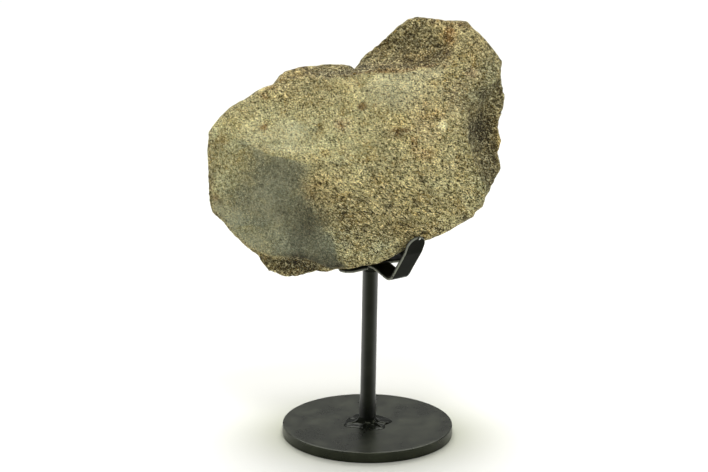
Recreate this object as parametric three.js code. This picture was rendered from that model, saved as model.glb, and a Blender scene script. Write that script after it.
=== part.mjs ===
// A broken section of a horned dinosaur's frill, resting in a welded steel cradle on a round base.
// Millimetres, +Z up. The origin is the centre of the base disc's underside, and the broad,
// weathered face of the bone looks towards -Y.

import * as THREE from 'three';
import { mergeVertices } from 'three/addons/utils/BufferGeometryUtils.js';

// ---- Driving dimensions of the stand ------------------------------------------------------------

const DISC_DIAMETER = 76.2;
const DISC_THICKNESS = 4.75;
const DISC_EDGE_BREAK = 0.4;

const POST_DIAMETER = 6.9;
const POST_TOP_Z = 78.7;
const POST_LEAN = THREE.MathUtils.degToRad(0.5);

const STRIP_WIDTH = 9.5;
const STRIP_THICKNESS = 1.6;
const STRIP_BEND_RADIUS = 4;

const GAP = 0.3;
const CRADLE_TURN = THREE.MathUtils.degToRad(-52);

const BASE_WELD_RADIUS = 10.2;
const BASE_WELD_HEIGHT = 3.4;
const TOP_WELD_RADIUS = 4.6;
const TOP_WELD_HEIGHT = 3.2;

const PAINT = { color: 0x2c2e2a, roughness: 0.45, metalness: 0.2 };
const BONE = { color: 0x9a9068, roughness: 0.85, metalness: 0 };

// ---- Driving dimensions of the bone -------------------------------------------------------------
// The bone is drawn in its own upright frame: u to the right, w up, depth along v, front negative.
// It then leans back by BONE_LEAN and stands with its frame's origin at BONE_HEIGHT.

const BONE_LEAN = THREE.MathUtils.degToRad(15.3);
const BONE_HEIGHT = 91.4;
const BONE_CENTRE = [-6, 38];
const BONE_CELLS = 36;

// The broken outline, walked anticlockwise from the lower right, as [u, w].
const OUTLINE = [
  [49, 13], [50.5, 17.5], [52.5, 22], [56.5, 30], [55.5, 37], [57.5, 42], [55.5, 47.5], [56, 51.5],
  [57.5, 56], [58.5, 62], [56.5, 67], [56.5, 71], [57.5, 77], [54, 81.5], [50.1, 85.9], [45, 90],
  [41.5, 93.5], [30.5, 94], [24, 95], [20.3, 96.1], [16.2, 95.5], [9, 89.7], [2.6, 83.9], [-3, 79.2],
  [-5, 76.5], [-7, 72.5], [-10.5, 75], [-23.5, 74.5], [-38, 71.5], [-42.5, 65.5], [-49, 63.3],
  [-55, 59], [-61.8, 55.2], [-70.4, 44.8], [-71, 40], [-71, 28], [-70.7, 22.5], [-70.4, 15.3],
  [-68.8, 9.8], [-64, 6], [-60.5, 1], [-49, -8.5], [-46.5, -12.5], [-44, -15.5], [-38.5, -17],
  [-33.5, -17.5], [-28, -16.5], [-23, -15], [-18, -15.5], [-14, -14], [-3, -13], [3.5, -12.5],
  [9.5, -9.5], [18, -3], [22.5, -2], [37.5, 5], [45, 8.5], [46, 10.5],
];

// How far back the outline's widest line lies, by angle round the centre, as [degrees, v].
const RIM_DEPTH = [
  [0, -6], [50, 1], [78, 0], [95, -3], [130, -4], [165, 0], [200, 0], [225, -2], [245, -4],
  [262, -12], [275, -17], [300, -17], [325, -13],
];

// Flat facets of the front: [u, w, depth there, slope along u, slope along w].
const FRONT_FACETS = [
  [15, 10, 24, 0, 0.06],
  [10, 58, 23.4, 0, -0.26],
  [-25, 32, 23, 0.25, -0.12],
  [-26, 32, 23.3, 0.36, 0.217],
  [-52, 41, 15.3, 0.645, 0.11],
  [-5, -8, 20, 0.1, 0.35],
  [42, 75, 17, -0.6, -0.35],
];

// Flat facets of the back, in the same form.
const BACK_FACETS = [
  [0, 40, 19, 0.02, -0.03],
  [10, 70, 17, 0.03, -0.18],
  [-45, 35, 17, 0.26, 0.05],
  [-30, 5, 16, 0.22, 0.35],
  [25, 8, 17.5, -0.3, 0.28],
  [42, 50, 16, -0.4, -0.05],
  [30, 85, 14, -0.05, -0.3],
];

// The crest where the front face ends at the top, as [u, w]. Past it the bone steps back.
const CREST = [
  [-70, 50], [-42, 66], [-28, 67.7], [-16, 67.9], [-6.5, 69.7], [14, 70.9], [21, 72.7], [29, 73.8],
  [36, 78], [42, 90], [60, 110],
];
const CREST_FALL = 2.4;
const CREST_FOOT = 3;
const CREST_LEAD = 7;
const CREST_LEAD_LOSS = 0.17;

// The edge where the front face ends at the right, as [w, u]. Past it the bone slopes back.
const RIGHT_CREST = [
  [10, 58], [20, 52.5], [27, 49.5], [35, 46.5], [41, 43.5], [52, 42.3], [62, 45], [70, 48.5],
  [78, 53], [95, 60],
];
const RIGHT_FLOOR = 9;
const RIGHT_FALL = 1.8;
const RIGHT_FOOT = 2.5;

// The line under which the lower left steps back to a rough lump, as [u, w], and the lump's
// depth along it, as [u, depth].
const UNDERCUT = [[-70, -20], [-52, -12], [-46, -8.5], [-15, -12.5], [-8, -20], [60, -40]];
const UNDERCUT_DEPTH = [[-50, 3.5], [-38, 4], [-30, 7.5], [-22, 11.5], [-12, 15]];
const UNDERCUT_FALL = 3;

const RIDGE_SHARPNESS = 1.6;
const FRONT_SQUARENESS = 7;
const BACK_SQUARENESS = 6;
const BACK_DRAFT = 0.06;
const HOLLOW = { u: 49.5, w: 43, depth: 4, halfWidth: 5, halfHeight: 12 };
const LUMPS = { count: 8, longest: 42, shrink: 0.87, steepness: 0.014 };

// The underside is flat where it sits on the cradle strips, round the seat's centre in X and Y.
const SEAT_Z = 80.95;
const SEAT_CENTRE = [4, 3];
const SEAT_REACH = 24;

// ---- Small tools --------------------------------------------------------------------------------

function node(name, geometry, finish) {
  const mesh = new THREE.Mesh(geometry, new THREE.MeshStandardMaterial(finish));
  mesh.name = name;
  return mesh;
}

function weldSeams(geometry) {
  geometry.deleteAttribute('normal');
  geometry.deleteAttribute('uv');
  return mergeVertices(geometry, 1e-4);
}

// Straight-line interpolation through [x, y] rows in rising order of x.
function along(rows, x) {
  if (x <= rows[0][0]) return rows[0][1];
  for (let i = 1; i < rows.length; i++) {
    const [x0, y0] = rows[i - 1];
    const [x1, y1] = rows[i];
    if (x <= x1) return y0 + ((y1 - y0) * (x - x0)) / (x1 - x0);
  }
  return rows[rows.length - 1][1];
}

// The same round a full turn of 360 degrees.
function around(rows, degrees) {
  const last = rows[rows.length - 1];
  const wrapped = [[last[0] - 360, last[1]], ...rows, [rows[0][0] + 360, rows[0][1]]];
  return along(wrapped, THREE.MathUtils.euclideanModulo(degrees, 360));
}

// Zero below nought and x above it, with a bend of that radius between.
function softplus(x, radius) {
  return Math.max(x, 0) + radius * Math.log1p(Math.exp(-Math.abs(x) / radius));
}

// ---- The bone -----------------------------------------------------------------------------------

const RADIUS_BY_ANGLE = OUTLINE.map(([u, w]) => {
  const du = u - BONE_CENTRE[0];
  const dw = w - BONE_CENTRE[1];
  const degrees = THREE.MathUtils.radToDeg(Math.atan2(dw, du));
  return [THREE.MathUtils.euclideanModulo(degrees, 360), Math.hypot(du, dw)];
}).sort((a, b) => a[0] - b[0]);

function facetDepths(facets, u, w) {
  return facets.map(([u0, w0, depth, slopeU, slopeW]) => depth + slopeU * (u - u0) + slopeW * (w - w0));
}

// The lowest of several depths, with the ridges between them slightly rounded.
function softLowest(depths) {
  const sum = depths.reduce((total, depth) => total + Math.exp(-RIDGE_SHARPNESS * depth), 0);
  return -Math.log(sum) / RIDGE_SHARPNESS;
}

function frontDepth(u, w) {
  const pastNotch = Math.max(0, u - 4);
  const lead = CREST_LEAD - CREST_LEAD_LOSS * pastNotch;
  const pastCrest = 2 + 0.32 * pastNotch + CREST_FALL * softplus(along(CREST, u) + lead - w, CREST_FOOT);
  const underCut = along(UNDERCUT_DEPTH, u) + UNDERCUT_FALL * softplus(w - along(UNDERCUT, u) + 1, 0.8);
  const pastRight = RIGHT_FLOOR + RIGHT_FALL * softplus(along(RIGHT_CREST, w) + 7 - u, RIGHT_FOOT);
  const hollow = HOLLOW.depth * Math.exp(
    -(((u - HOLLOW.u) / HOLLOW.halfWidth) ** 2) - ((w - HOLLOW.w) / HOLLOW.halfHeight) ** 2,
  );
  return softLowest([...facetDepths(FRONT_FACETS, u, w), pastCrest, underCut, pastRight]) - hollow;
}

// Spreads the steps of a superellipse quarter evenly along its length, from face centre to rim.
function shoulderProfile(squareness) {
  const steps = 400;
  const rows = [];
  let length = 0;
  for (let i = 0; i <= steps; i++) {
    const angle = (i / steps) * (Math.PI / 2);
    const reach = Math.sin(angle) ** (2 / squareness);
    const depth = Math.cos(angle) ** (2 / squareness);
    if (i > 0) length += Math.hypot(55 * (reach - rows[i - 1].reach), 24 * (depth - rows[i - 1].depth));
    rows.push({ length, reach, depth });
  }
  return {
    reach: (s) => along(rows.map((row) => [row.length / length, row.reach]), s),
    depth: (s) => along(rows.map((row) => [row.length / length, row.depth]), s),
  };
}

// Low waves in fixed directions spread over a sphere, from long and tall to short and shallow.
function lumps(point) {
  let height = 0;
  for (let i = 0; i < LUMPS.count; i++) {
    const wavelength = LUMPS.longest * LUMPS.shrink ** i;
    const rise = 1 - (2 * (i + 0.5)) / LUMPS.count;
    const turn = 2.4 * i;
    const flat = Math.sqrt(1 - rise * rise);
    const phase = point.x * flat * Math.cos(turn) + point.y * flat * Math.sin(turn) + point.z * rise;
    height += LUMPS.steepness * wavelength * Math.sin((2 * Math.PI * phase) / wavelength + turn);
  }
  return height;
}

// One point of the bone: a and b run from -1 to 1 over the front or the back, and the square of
// a and b is bent onto the outline, so that its border is the rim.
function bonePoint(a, b, side, profile) {
  const across = Math.abs(a) > Math.abs(b);
  const s = across ? a : b;
  const slice = across ? (Math.PI / 4) * (b / a) : Math.PI / 2 - (Math.PI / 4) * (b === 0 ? 0 : a / b);
  const u1 = Math.sign(s) * Math.cos(slice);
  const w1 = Math.sign(s) * Math.sin(slice);
  const degrees = THREE.MathUtils.radToDeg(Math.atan2(w1, u1));
  const reach = profile.reach(Math.abs(s));
  const depth = profile.depth(Math.abs(s));
  const draft = side > 0 ? 1 - BACK_DRAFT * depth : 1;
  const radius = around(RADIUS_BY_ANGLE, degrees) * reach * draft;
  const u = BONE_CENTRE[0] + radius * u1;
  const w = BONE_CENTRE[1] + radius * w1;
  const face = side > 0 ? softLowest(facetDepths(BACK_FACETS, u, w)) : -frontDepth(u, w);
  const v = around(RIM_DEPTH, degrees) * (1 - depth) + face * depth;
  return { point: new THREE.Vector3(u, v, w), reach };
}

// Splits four corners, given anticlockwise from outside, along the shorter diagonal.
function pushQuad(index, points, [p, q, r, t]) {
  if (points[p].distanceTo(points[r]) < points[q].distanceTo(points[t])) index.push(p, q, r, p, r, t);
  else index.push(p, q, t, q, r, t);
}

function boneGeometry() {
  const n = BONE_CELLS;
  const front = shoulderProfile(FRONT_SQUARENESS);
  const back = shoulderProfile(BACK_SQUARENESS);
  const points = [];
  const weights = [];
  const lay = (side, profile) => {
    const rows = [];
    for (let j = 0; j <= n; j++) {
      for (let i = 0; i <= n; i++) {
        const border = i === 0 || j === 0 || i === n || j === n;
        if (side > 0 && border) {
          rows.push(j * (n + 1) + i);
          continue;
        }
        const { point, reach } = bonePoint((2 * i) / n - 1, (2 * j) / n - 1, side, profile);
        rows.push(points.length);
        points.push(point);
        weights.push(1 - 0.7 * reach ** 8);
      }
    }
    return rows;
  };
  const frontRows = lay(-1, front);
  const backRows = lay(1, back);

  const index = [];
  for (let j = 0; j < n; j++) {
    for (let i = 0; i < n; i++) {
      const corner = j * (n + 1) + i;
      const quad = [corner, corner + 1, corner + n + 2, corner + n + 1];
      pushQuad(index, points, quad.map((k) => frontRows[k]));
      pushQuad(index, points, quad.map((k) => backRows[k]).reverse());
    }
  }

  const geometry = new THREE.BufferGeometry().setFromPoints(points);
  geometry.setIndex(index);
  geometry.computeVertexNormals();
  const position = geometry.getAttribute('position');
  const normal = geometry.getAttribute('normal');
  const lift = new THREE.Vector3();
  for (let k = 0; k < points.length; k++) {
    lift.fromBufferAttribute(normal, k).multiplyScalar(weights[k] * lumps(points[k]));
    points[k].add(lift);
    position.setXYZ(k, points[k].x, points[k].y, points[k].z);
  }
  geometry.rotateX(-BONE_LEAN);
  geometry.translate(0, 0, BONE_HEIGHT);
  seatOnCradle(position);
  geometry.deleteAttribute('normal');
  return geometry;
}

// Flattens whatever would hang below the cradle strips, round the seat's centre.
function seatOnCradle(position) {
  const [x, y] = SEAT_CENTRE;
  for (let k = 0; k < position.count; k++) {
    const fromCentre = Math.hypot(position.getX(k) - x, position.getY(k) - y);
    const floor = SEAT_Z - Math.max(0, fromCentre - SEAT_REACH);
    position.setZ(k, floor + softplus(position.getZ(k) - floor, 0.15));
  }
}

// ---- The stand ----------------------------------------------------------------------------------

// A ring turned round the post. Its profile closes on itself, and its outer reach swells in lobes.
function beadGeometry(profile, lobes, swell) {
  const bead = new THREE.LatheGeometry(profile, 48);
  bead.rotateX(Math.PI / 2);
  const position = bead.getAttribute('position');
  const inner = Math.min(...profile.map((p) => p.x));
  for (let k = 0; k < position.count; k++) {
    const x = position.getX(k);
    const y = position.getY(k);
    const turn = Math.atan2(y, x);
    const out = Math.hypot(x, y) - inner;
    const stretch = 1 + swell * (Math.sin(lobes * turn) + 0.6 * Math.sin((lobes + 3) * turn + 1));
    const scale = (inner + out * stretch) / (inner + out);
    position.setXY(k, x * scale, y * scale);
  }
  return weldSeams(bead);
}

function discGeometry() {
  const r = DISC_DIAMETER / 2;
  const profile = [
    new THREE.Vector2(0, 0),
    new THREE.Vector2(r - DISC_EDGE_BREAK, 0),
    new THREE.Vector2(r, DISC_EDGE_BREAK),
    new THREE.Vector2(r, DISC_THICKNESS - DISC_EDGE_BREAK),
    new THREE.Vector2(r - DISC_EDGE_BREAK, DISC_THICKNESS),
    new THREE.Vector2(0, DISC_THICKNESS),
  ];
  return weldSeams(new THREE.LatheGeometry(profile, 72).rotateX(Math.PI / 2));
}

function baseWeldGeometry() {
  const inner = POST_DIAMETER / 2 + GAP;
  const floor = DISC_THICKNESS + GAP;
  const profile = [
    new THREE.Vector2(inner, floor),
    new THREE.Vector2(BASE_WELD_RADIUS, floor),
    new THREE.Vector2(BASE_WELD_RADIUS * 0.85, floor + 0.9),
    new THREE.Vector2(BASE_WELD_RADIUS * 0.6, floor + 1.5),
    new THREE.Vector2(inner + 0.9, floor + BASE_WELD_HEIGHT * 0.8),
    new THREE.Vector2(inner, floor + BASE_WELD_HEIGHT),
    new THREE.Vector2(inner, floor),
  ];
  return beadGeometry(profile, 4, 0.14);
}

function topWeldGeometry() {
  const inner = POST_DIAMETER / 2 + GAP;
  const top = POST_TOP_Z;
  const profile = [
    new THREE.Vector2(inner, top - TOP_WELD_HEIGHT),
    new THREE.Vector2(TOP_WELD_RADIUS * 0.9, top - TOP_WELD_HEIGHT * 0.55),
    new THREE.Vector2(TOP_WELD_RADIUS, top - 0.4),
    new THREE.Vector2(TOP_WELD_RADIUS, top),
    new THREE.Vector2(inner, top),
    new THREE.Vector2(inner, top - TOP_WELD_HEIGHT),
  ];
  return beadGeometry(profile, 3, 0.06);
}

function postGeometry(length) {
  const r = POST_DIAMETER / 2;
  return weldSeams(new THREE.CylinderGeometry(r, r, length, 36).rotateX(Math.PI / 2));
}

// The middle line of a bent strip, seen from its side: straight runs between corners, with a
// round bend of one radius at each inner corner. Corners are [distance from the post, height].
function bentLine(corners) {
  const points = corners.map(([s, z]) => new THREE.Vector2(s, z));
  const line = new THREE.Path();
  line.moveTo(points[0].x, points[0].y);
  for (let i = 1; i < points.length - 1; i++) {
    const into = points[i].clone().sub(points[i - 1]).normalize();
    const out = points[i + 1].clone().sub(points[i]).normalize();
    const turn = Math.asin(into.cross(out));
    const setback = STRIP_BEND_RADIUS * Math.tan(Math.abs(turn) / 2);
    const start = points[i].clone().addScaledVector(into, -setback);
    const side = Math.sign(turn);
    const centre = new THREE.Vector2(-into.y, into.x).multiplyScalar(side * STRIP_BEND_RADIUS).add(start);
    const from = Math.atan2(start.y - centre.y, start.x - centre.x);
    line.lineTo(start.x, start.y);
    line.absarc(centre.x, centre.y, STRIP_BEND_RADIUS, from, from + turn, side < 0);
  }
  const end = points[points.length - 1];
  line.lineTo(end.x, end.y);
  return line;
}

// A flat strip bent along that line, in the plane of X and Z, with a half-round tip where asked.
function stripGeometry(corners, roundStart, roundEnd) {
  const line = bentLine(corners);
  const length = line.getLength();
  const tip = STRIP_WIDTH / 2;
  const stops = [];
  const tipStops = [0.04, 0.3, 0.8, 1.6, 2.7, tip];
  const runStart = roundStart ? tip : 0;
  const runEnd = roundEnd ? length - tip : length;
  if (roundStart) stops.push(...tipStops.slice(0, -1));
  const runSteps = Math.round((runEnd - runStart) / 1.5);
  for (let i = 0; i <= runSteps; i++) stops.push(runStart + ((runEnd - runStart) * i) / runSteps);
  if (roundEnd) stops.push(...tipStops.slice(0, -1).reverse().map((d) => length - d));

  const vertices = [];
  for (const stop of stops) {
    const at = line.getPointAt(stop / length);
    const way = line.getTangentAt(stop / length);
    const toEnd = Math.min(roundStart ? stop : tip, roundEnd ? length - stop : tip, tip);
    const half = Math.sqrt(tip * tip - (tip - toEnd) ** 2);
    for (const [across, up] of [[-1, -1], [1, -1], [1, 1], [-1, 1]]) {
      const rise = (up * STRIP_THICKNESS) / 2;
      vertices.push(at.x - way.y * rise, across * half, at.y + way.x * rise);
    }
  }
  const index = [0, 3, 2, 0, 2, 1];
  for (let i = 0; i + 1 < stops.length; i++) {
    for (let k = 0; k < 4; k++) {
      const p = 4 * i + k;
      const q = 4 * i + ((k + 1) % 4);
      index.push(p, q, q + 4, p, q + 4, p + 4);
    }
  }
  const last = 4 * (stops.length - 1);
  index.push(last, last + 1, last + 2, last, last + 2, last + 3);
  const geometry = new THREE.BufferGeometry();
  geometry.setAttribute('position', new THREE.Float32BufferAttribute(vertices, 3));
  geometry.setIndex(index);
  return geometry;
}

// ---- Assembly -----------------------------------------------------------------------------------

const postFoot = DISC_THICKNESS + GAP;
const postLength = POST_TOP_Z - postFoot;
const postTopX = postLength * Math.sin(POST_LEAN);
const stripZ = POST_TOP_Z + GAP + STRIP_THICKNESS / 2;
const sideStart = STRIP_WIDTH / 2 + GAP;

const group = new THREE.Group();
group.add(node('frill_section', boneGeometry(), BONE));
group.add(node('base_disc', discGeometry(), PAINT));
group.add(node('base_weld', baseWeldGeometry(), PAINT));

const post = node('post', postGeometry(postLength), PAINT);
post.rotation.y = POST_LEAN;
post.position.set(postTopX / 2, 0, postFoot + postLength / 2);
group.add(post);

const topWeld = node('top_weld', topWeldGeometry(), PAINT);
topWeld.position.x = postTopX;
group.add(topWeld);

const cradle = new THREE.Group();
cradle.position.x = postTopX;
cradle.rotation.z = CRADLE_TURN;
const hooks = [
  [-31.5, 93], [-20.2, 76.6], [-7.8, stripZ], [7.8, stripZ], [19.2, 76.4], [29, 90.6], [32.4, 98.2],
];
cradle.add(node('cradle_strip', stripGeometry(hooks, true, true), PAINT));
const backCorners = [[sideStart, stripZ], [17.5, stripZ - 1.2], [27.5, 90.5]];
const backRight = node('back_right_arm', stripGeometry(backCorners, false, true), PAINT);
backRight.rotation.z = Math.PI / 2;
cradle.add(backRight);
const frontCorners = [[sideStart, stripZ - 0.9], [16.5, stripZ - 1.2]];
const frontLeft = node('front_left_arm', stripGeometry(frontCorners, false, true), PAINT);
frontLeft.rotation.z = -Math.PI / 2;
cradle.add(frontLeft);
group.add(cradle);

export default group;
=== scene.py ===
"""Looks of a fossil frill section that rests in a welded strip cradle on a round black base.

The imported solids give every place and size. Here each piece gets its fine surface and finish.
Lengths in the shape formulas are millimetres, and meshes are written in metres.
"""

from math import cos, pi, radians, sin

import bpy
import numpy as np
from bpy.props import FloatProperty, FloatVectorProperty, IntProperty, PointerProperty
from mathutils import Matrix, Vector


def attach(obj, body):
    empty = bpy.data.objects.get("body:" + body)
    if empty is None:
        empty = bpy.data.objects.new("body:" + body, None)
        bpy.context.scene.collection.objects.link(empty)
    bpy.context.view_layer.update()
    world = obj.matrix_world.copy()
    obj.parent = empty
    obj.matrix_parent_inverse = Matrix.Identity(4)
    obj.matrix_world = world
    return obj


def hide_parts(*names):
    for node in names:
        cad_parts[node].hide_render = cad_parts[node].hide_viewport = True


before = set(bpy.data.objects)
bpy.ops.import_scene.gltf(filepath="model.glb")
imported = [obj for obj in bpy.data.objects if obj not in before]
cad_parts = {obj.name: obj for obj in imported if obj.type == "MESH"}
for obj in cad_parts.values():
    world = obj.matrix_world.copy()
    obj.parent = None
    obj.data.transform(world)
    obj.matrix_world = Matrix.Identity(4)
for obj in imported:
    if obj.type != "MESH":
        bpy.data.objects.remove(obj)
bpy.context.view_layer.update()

bl_info = {
    "name": "Fossil Frill Section on a Stand",
    "version": (1, 0, 0),
    "blender": (4, 5, 0),
    "location": "View3D > Sidebar > Fossil",
    "description": "Builds the bone, its black steel stand and a studio round the packed solids",
    "category": "Object",
}

MM = 0.001

# ---- The bone's shape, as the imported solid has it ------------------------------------
# The bone is drawn upright: u to the right, w up, depth along v with the front negative. It leans
# back by BONE_LEAN, and its frame's origin is BONE_HEIGHT over the surface the stand is on.

BONE_LEAN = radians(15.3)
BONE_HEIGHT = 91.4
BONE_CENTRE = (-6, 38)

OUTLINE = [
    (49, 13), (50.5, 17.5), (52.5, 22), (56.5, 30), (55.5, 37), (57.5, 42), (55.5, 47.5),
    (56, 51.5), (57.5, 56), (58.5, 62), (56.5, 67), (56.5, 71), (57.5, 77), (54, 81.5),
    (50.1, 85.9), (45, 90), (41.5, 93.5), (30.5, 94), (24, 95), (20.3, 96.1), (16.2, 95.5),
    (9, 89.7), (2.6, 83.9), (-3, 79.2), (-5, 76.5), (-7, 72.5), (-10.5, 75), (-23.5, 74.5),
    (-38, 71.5), (-42.5, 65.5), (-49, 63.3), (-55, 59), (-61.8, 55.2), (-70.4, 44.8), (-71, 40),
    (-71, 28), (-70.7, 22.5), (-70.4, 15.3), (-68.8, 9.8), (-64, 6), (-60.5, 1), (-49, -8.5),
    (-46.5, -12.5), (-44, -15.5), (-38.5, -17), (-33.5, -17.5), (-28, -16.5), (-23, -15),
    (-18, -15.5), (-14, -14), (-3, -13), (3.5, -12.5), (9.5, -9.5), (18, -3), (22.5, -2), (37.5, 5),
    (45, 8.5), (46, 10.5),
]
RIM_DEPTH = [
    (0, -6), (50, 1), (78, 0), (95, -3), (130, -4), (165, 0), (200, 0), (225, -2), (245, -4),
    (262, -12), (275, -17), (300, -17), (325, -13),
]

# Facets are (u, w, depth there, slope along u, slope along w).
FRONT_FACETS = {
    "lower": (15, 10, 24, 0, 0.06),
    "top": (10, 58, 23.4, 0, -0.26),
    "upper_left": (-25, 32, 23, 0.25, -0.12),
    "grey": (-26, 32, 23.3, 0.36, 0.217),
    "left_end": (-52, 41, 15.3, 0.645, 0.11),
    "underside": (-5, -8, 20, 0.1, 0.35),
    "fin": (42, 75, 17, -0.6, -0.35),
}
BACK_FACETS = {
    "broad": (0, 40, 19, 0.02, -0.03),
    "upper": (10, 70, 17, 0.03, -0.18),
    "left": (-45, 35, 17, 0.26, 0.05),
    "lower_left": (-30, 5, 16, 0.22, 0.35),
    "lower_right": (25, 8, 17.5, -0.3, 0.28),
    "right": (42, 50, 16, -0.4, -0.05),
    "fin": (30, 85, 14, -0.05, -0.3),
}
CREST = [
    (-70, 50), (-42, 66), (-28, 67.7), (-16, 67.9), (-6.5, 69.7), (14, 70.9), (21, 72.7),
    (29, 73.8), (36, 78), (42, 90), (60, 110),
]
# A break starts LEAD before its line, falls with the slope FALL and bends over FOOT into its FLOOR,
# the depth it ends at. Right of the notch the crest's lead shrinks and its floor rises.
CREST_FALL = 2.4
CREST_FOOT = 3
CREST_LEAD = 7
CREST_LEAD_LOSS = 0.17
CREST_FLOOR = 2
CREST_FLOOR_RISE = 0.32
NOTCH_U = 4
RIGHT_CREST = [
    (10, 58), (20, 52.5), (27, 49.5), (35, 46.5), (41, 43.5), (52, 42.3), (62, 45), (70, 48.5),
    (78, 53), (95, 60),
]
RIGHT_FALL = 1.8
RIGHT_FOOT = 2.5
RIGHT_LEAD = 7
RIGHT_FLOOR = 9
UNDERCUT = [(-70, -20), (-52, -12), (-46, -8.5), (-15, -12.5), (-8, -20), (60, -40)]
UNDERCUT_FALL = 3
UNDERCUT_FOOT = 0.8
UNDERCUT_LEAD = 1
UNDERCUT_FLOOR = [(-50, 3.5), (-38, 4), (-30, 7.5), (-22, 11.5), (-12, 15)]
# The hollow in the right break is (u, w, half width, half height, depth).
HOLLOW = [(49.5, 43, 5, 12, 4)]
RIDGE_SHARPNESS = 1.6
FRONT_SQUARENESS = 7
BACK_SQUARENESS = 6
BACK_DRAFT = 0.06
TYPICAL_RADIUS = 55
TYPICAL_DEPTH = 24
# The long lumps: how many waves, the longest, each next one's share of it, and their steepness.
LUMPS = (8, 42, 0.87, 0.014)
SEAT_Z = 80.95
SEAT_CENTRE = (4, 3)
SEAT_REACH = 24

# ---- The stand's lines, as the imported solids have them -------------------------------

DISC_DIAMETER = 76.2
DISC_THICKNESS = 4.75
DISC_EDGE = 0.55
POST_DIAMETER = 6.9
POST_RADIUS = POST_DIAMETER / 2
POST_TOP_Z = 78.7
POST_LEAN = radians(0.5)
POST_EDGE = 0.3
# The post is this much thicker for a way above its foot, where the paint and weld build up.
POST_FOOT_SWELL = 0.35
STRIP_WIDTH = 9.5
STRIP_THICKNESS = 1.6
STRIP_BEND_RADIUS = 4
STRIP_EDGE = 0.4
STRIP_STEP = 0.5
# The strips' slight waves: height, wavelength and seed.
STRIP_WAVES = [(0.09, 9, 241), (0.03, 3, 247)]
CRADLE_TURN = radians(-52)
GAP = 0.3
BASE_WELD_RADIUS = 10.2
BASE_WELD_HEIGHT = 3.4
BASE_WELD_PUDDLE = 0.55
# Ridges of the base weld are (degrees round the post, height).
BASE_WELD_RIDGES = [(-48, 2.2), (-105, 1.2), (-160, 1.4), (-15, 1.2), (150, 1.0), (60, 1.2)]
TOP_WELD_RADIUS = 4.6
TOP_WELD_HEIGHT = 3.2
TOP_WELD_EDGE = 0.25
# Each weld bead's lobes round the post, and how much they swell it.
BASE_WELD_LOBES = (4, 0.14)
TOP_WELD_LOBES = (3, 0.06)
STRIP_Z = POST_TOP_Z + GAP + STRIP_THICKNESS / 2
SIDE_START = STRIP_WIDTH / 2 + GAP
# The front hook's tip as (distance from the post, height).
HOOK_TIP = (32.4, 98.2)

# Each strip: piece, node, corners of (distance from the post, height), degrees of turn in the
# cradle, and whether its start is a round tip too.
STRIPS = [
    (
        "strip_hooks", "cradle_strip",
        [
            (-31.5, 93), (-20.2, 76.6), (-7.8, STRIP_Z), (7.8, STRIP_Z), (19.2, 76.4), (29, 90.6),
            HOOK_TIP,
        ],
        0, True,
    ),
    (
        "strip_back_right", "back_right_arm",
        [(SIDE_START, STRIP_Z), (17.5, STRIP_Z - 1.2), (27.5, 90.5)], 90, False,
    ),
    (
        "strip_front_left", "front_left_arm",
        [(SIDE_START, STRIP_Z - 0.9), (16.5, STRIP_Z - 1.2)], -90, False,
    ),
]


# ---- Tools: curves, noise and meshes -------------------------------------------------

def along(rows, x):
    """Straight-line interpolation through rows of (x, y)."""
    table = np.array(rows, float)
    return np.interp(x, table[:, 0], table[:, 1])


def around(rows, degrees):
    """The same round a full turn of 360 degrees."""
    table = np.array(rows, float)
    return np.interp(degrees, table[:, 0], table[:, 1], period=360)


def softplus(x, radius):
    """Zero below nought and x above it, with a bend of that radius between."""
    return np.maximum(x, 0) + radius * np.log1p(np.exp(-np.abs(x) / radius))


def bell(x, middle, half):
    """1 at the middle, falling as exp(-((x - middle) / half)^2)."""
    return np.exp(-(((x - middle) / half) ** 2))


def smoothstep(low, high, x):
    """Rises from 0 at low to 1 at high along 3t^2 - 2t^3."""
    t = np.clip((x - low) / (high - low), 0, 1)
    return t * t * (3 - 2 * t)


def lattice_random(cell, seed):
    """A fixed random number from 0 to 1 for each whole-number cell of three coordinates."""
    c = cell.astype(np.int64).astype(np.uint32)
    h = c[..., 0] * np.uint32(374761393) + c[..., 1] * np.uint32(668265263)
    h = h + c[..., 2] * np.uint32(2246822519) + np.uint32(seed * 3266489917 & 0xFFFFFFFF)
    h = (h ^ (h >> np.uint32(15))) * np.uint32(2246822519)
    h = (h ^ (h >> np.uint32(13))) * np.uint32(3266489917)
    return (h ^ (h >> np.uint32(16))).astype(float) / 4294967295.0


def value_noise(points, wavelength, seed):
    """Random numbers on a cubic lattice, blended by smoothstep between corners, from -1 to 1."""
    p = points / wavelength
    base = np.floor(p)
    t = p - base
    t = t * t * (3 - 2 * t)
    total = np.zeros(len(p))
    for corner in np.ndindex(2, 2, 2):
        weight = np.prod(np.where(np.array(corner) == 1, t, 1 - t), axis=1)
        total += weight * lattice_random(base + np.array(corner), seed)
    return 2 * total - 1


def fractal(points, wavelength, octaves, seed, gain=0.5):
    """Sum of value noises, each half as long and gain times as tall as the one before."""
    return sum(
        gain**k * value_noise(points, wavelength / 2**k, seed + k) for k in range(octaves)
    )


def cell_distance(points, size, seed):
    """Distance to the nearest of the scattered points, one to a cell, in units of the cell's size,
    and that cell's own random number."""
    p = points / size
    base = np.floor(p)
    nearest = np.full(len(p), 9.0)
    chosen = np.zeros(len(p))
    for step in np.ndindex(3, 3, 3):
        cell = base + np.array(step) - 1
        spot = cell + np.stack([lattice_random(cell, seed + axis) for axis in range(3)], axis=1)
        distance = np.linalg.norm(p - spot, axis=1)
        closer = distance < nearest
        nearest = np.where(closer, distance, nearest)
        chosen = np.where(closer, lattice_random(cell, seed + 7), chosen)
    return nearest, chosen


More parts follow.
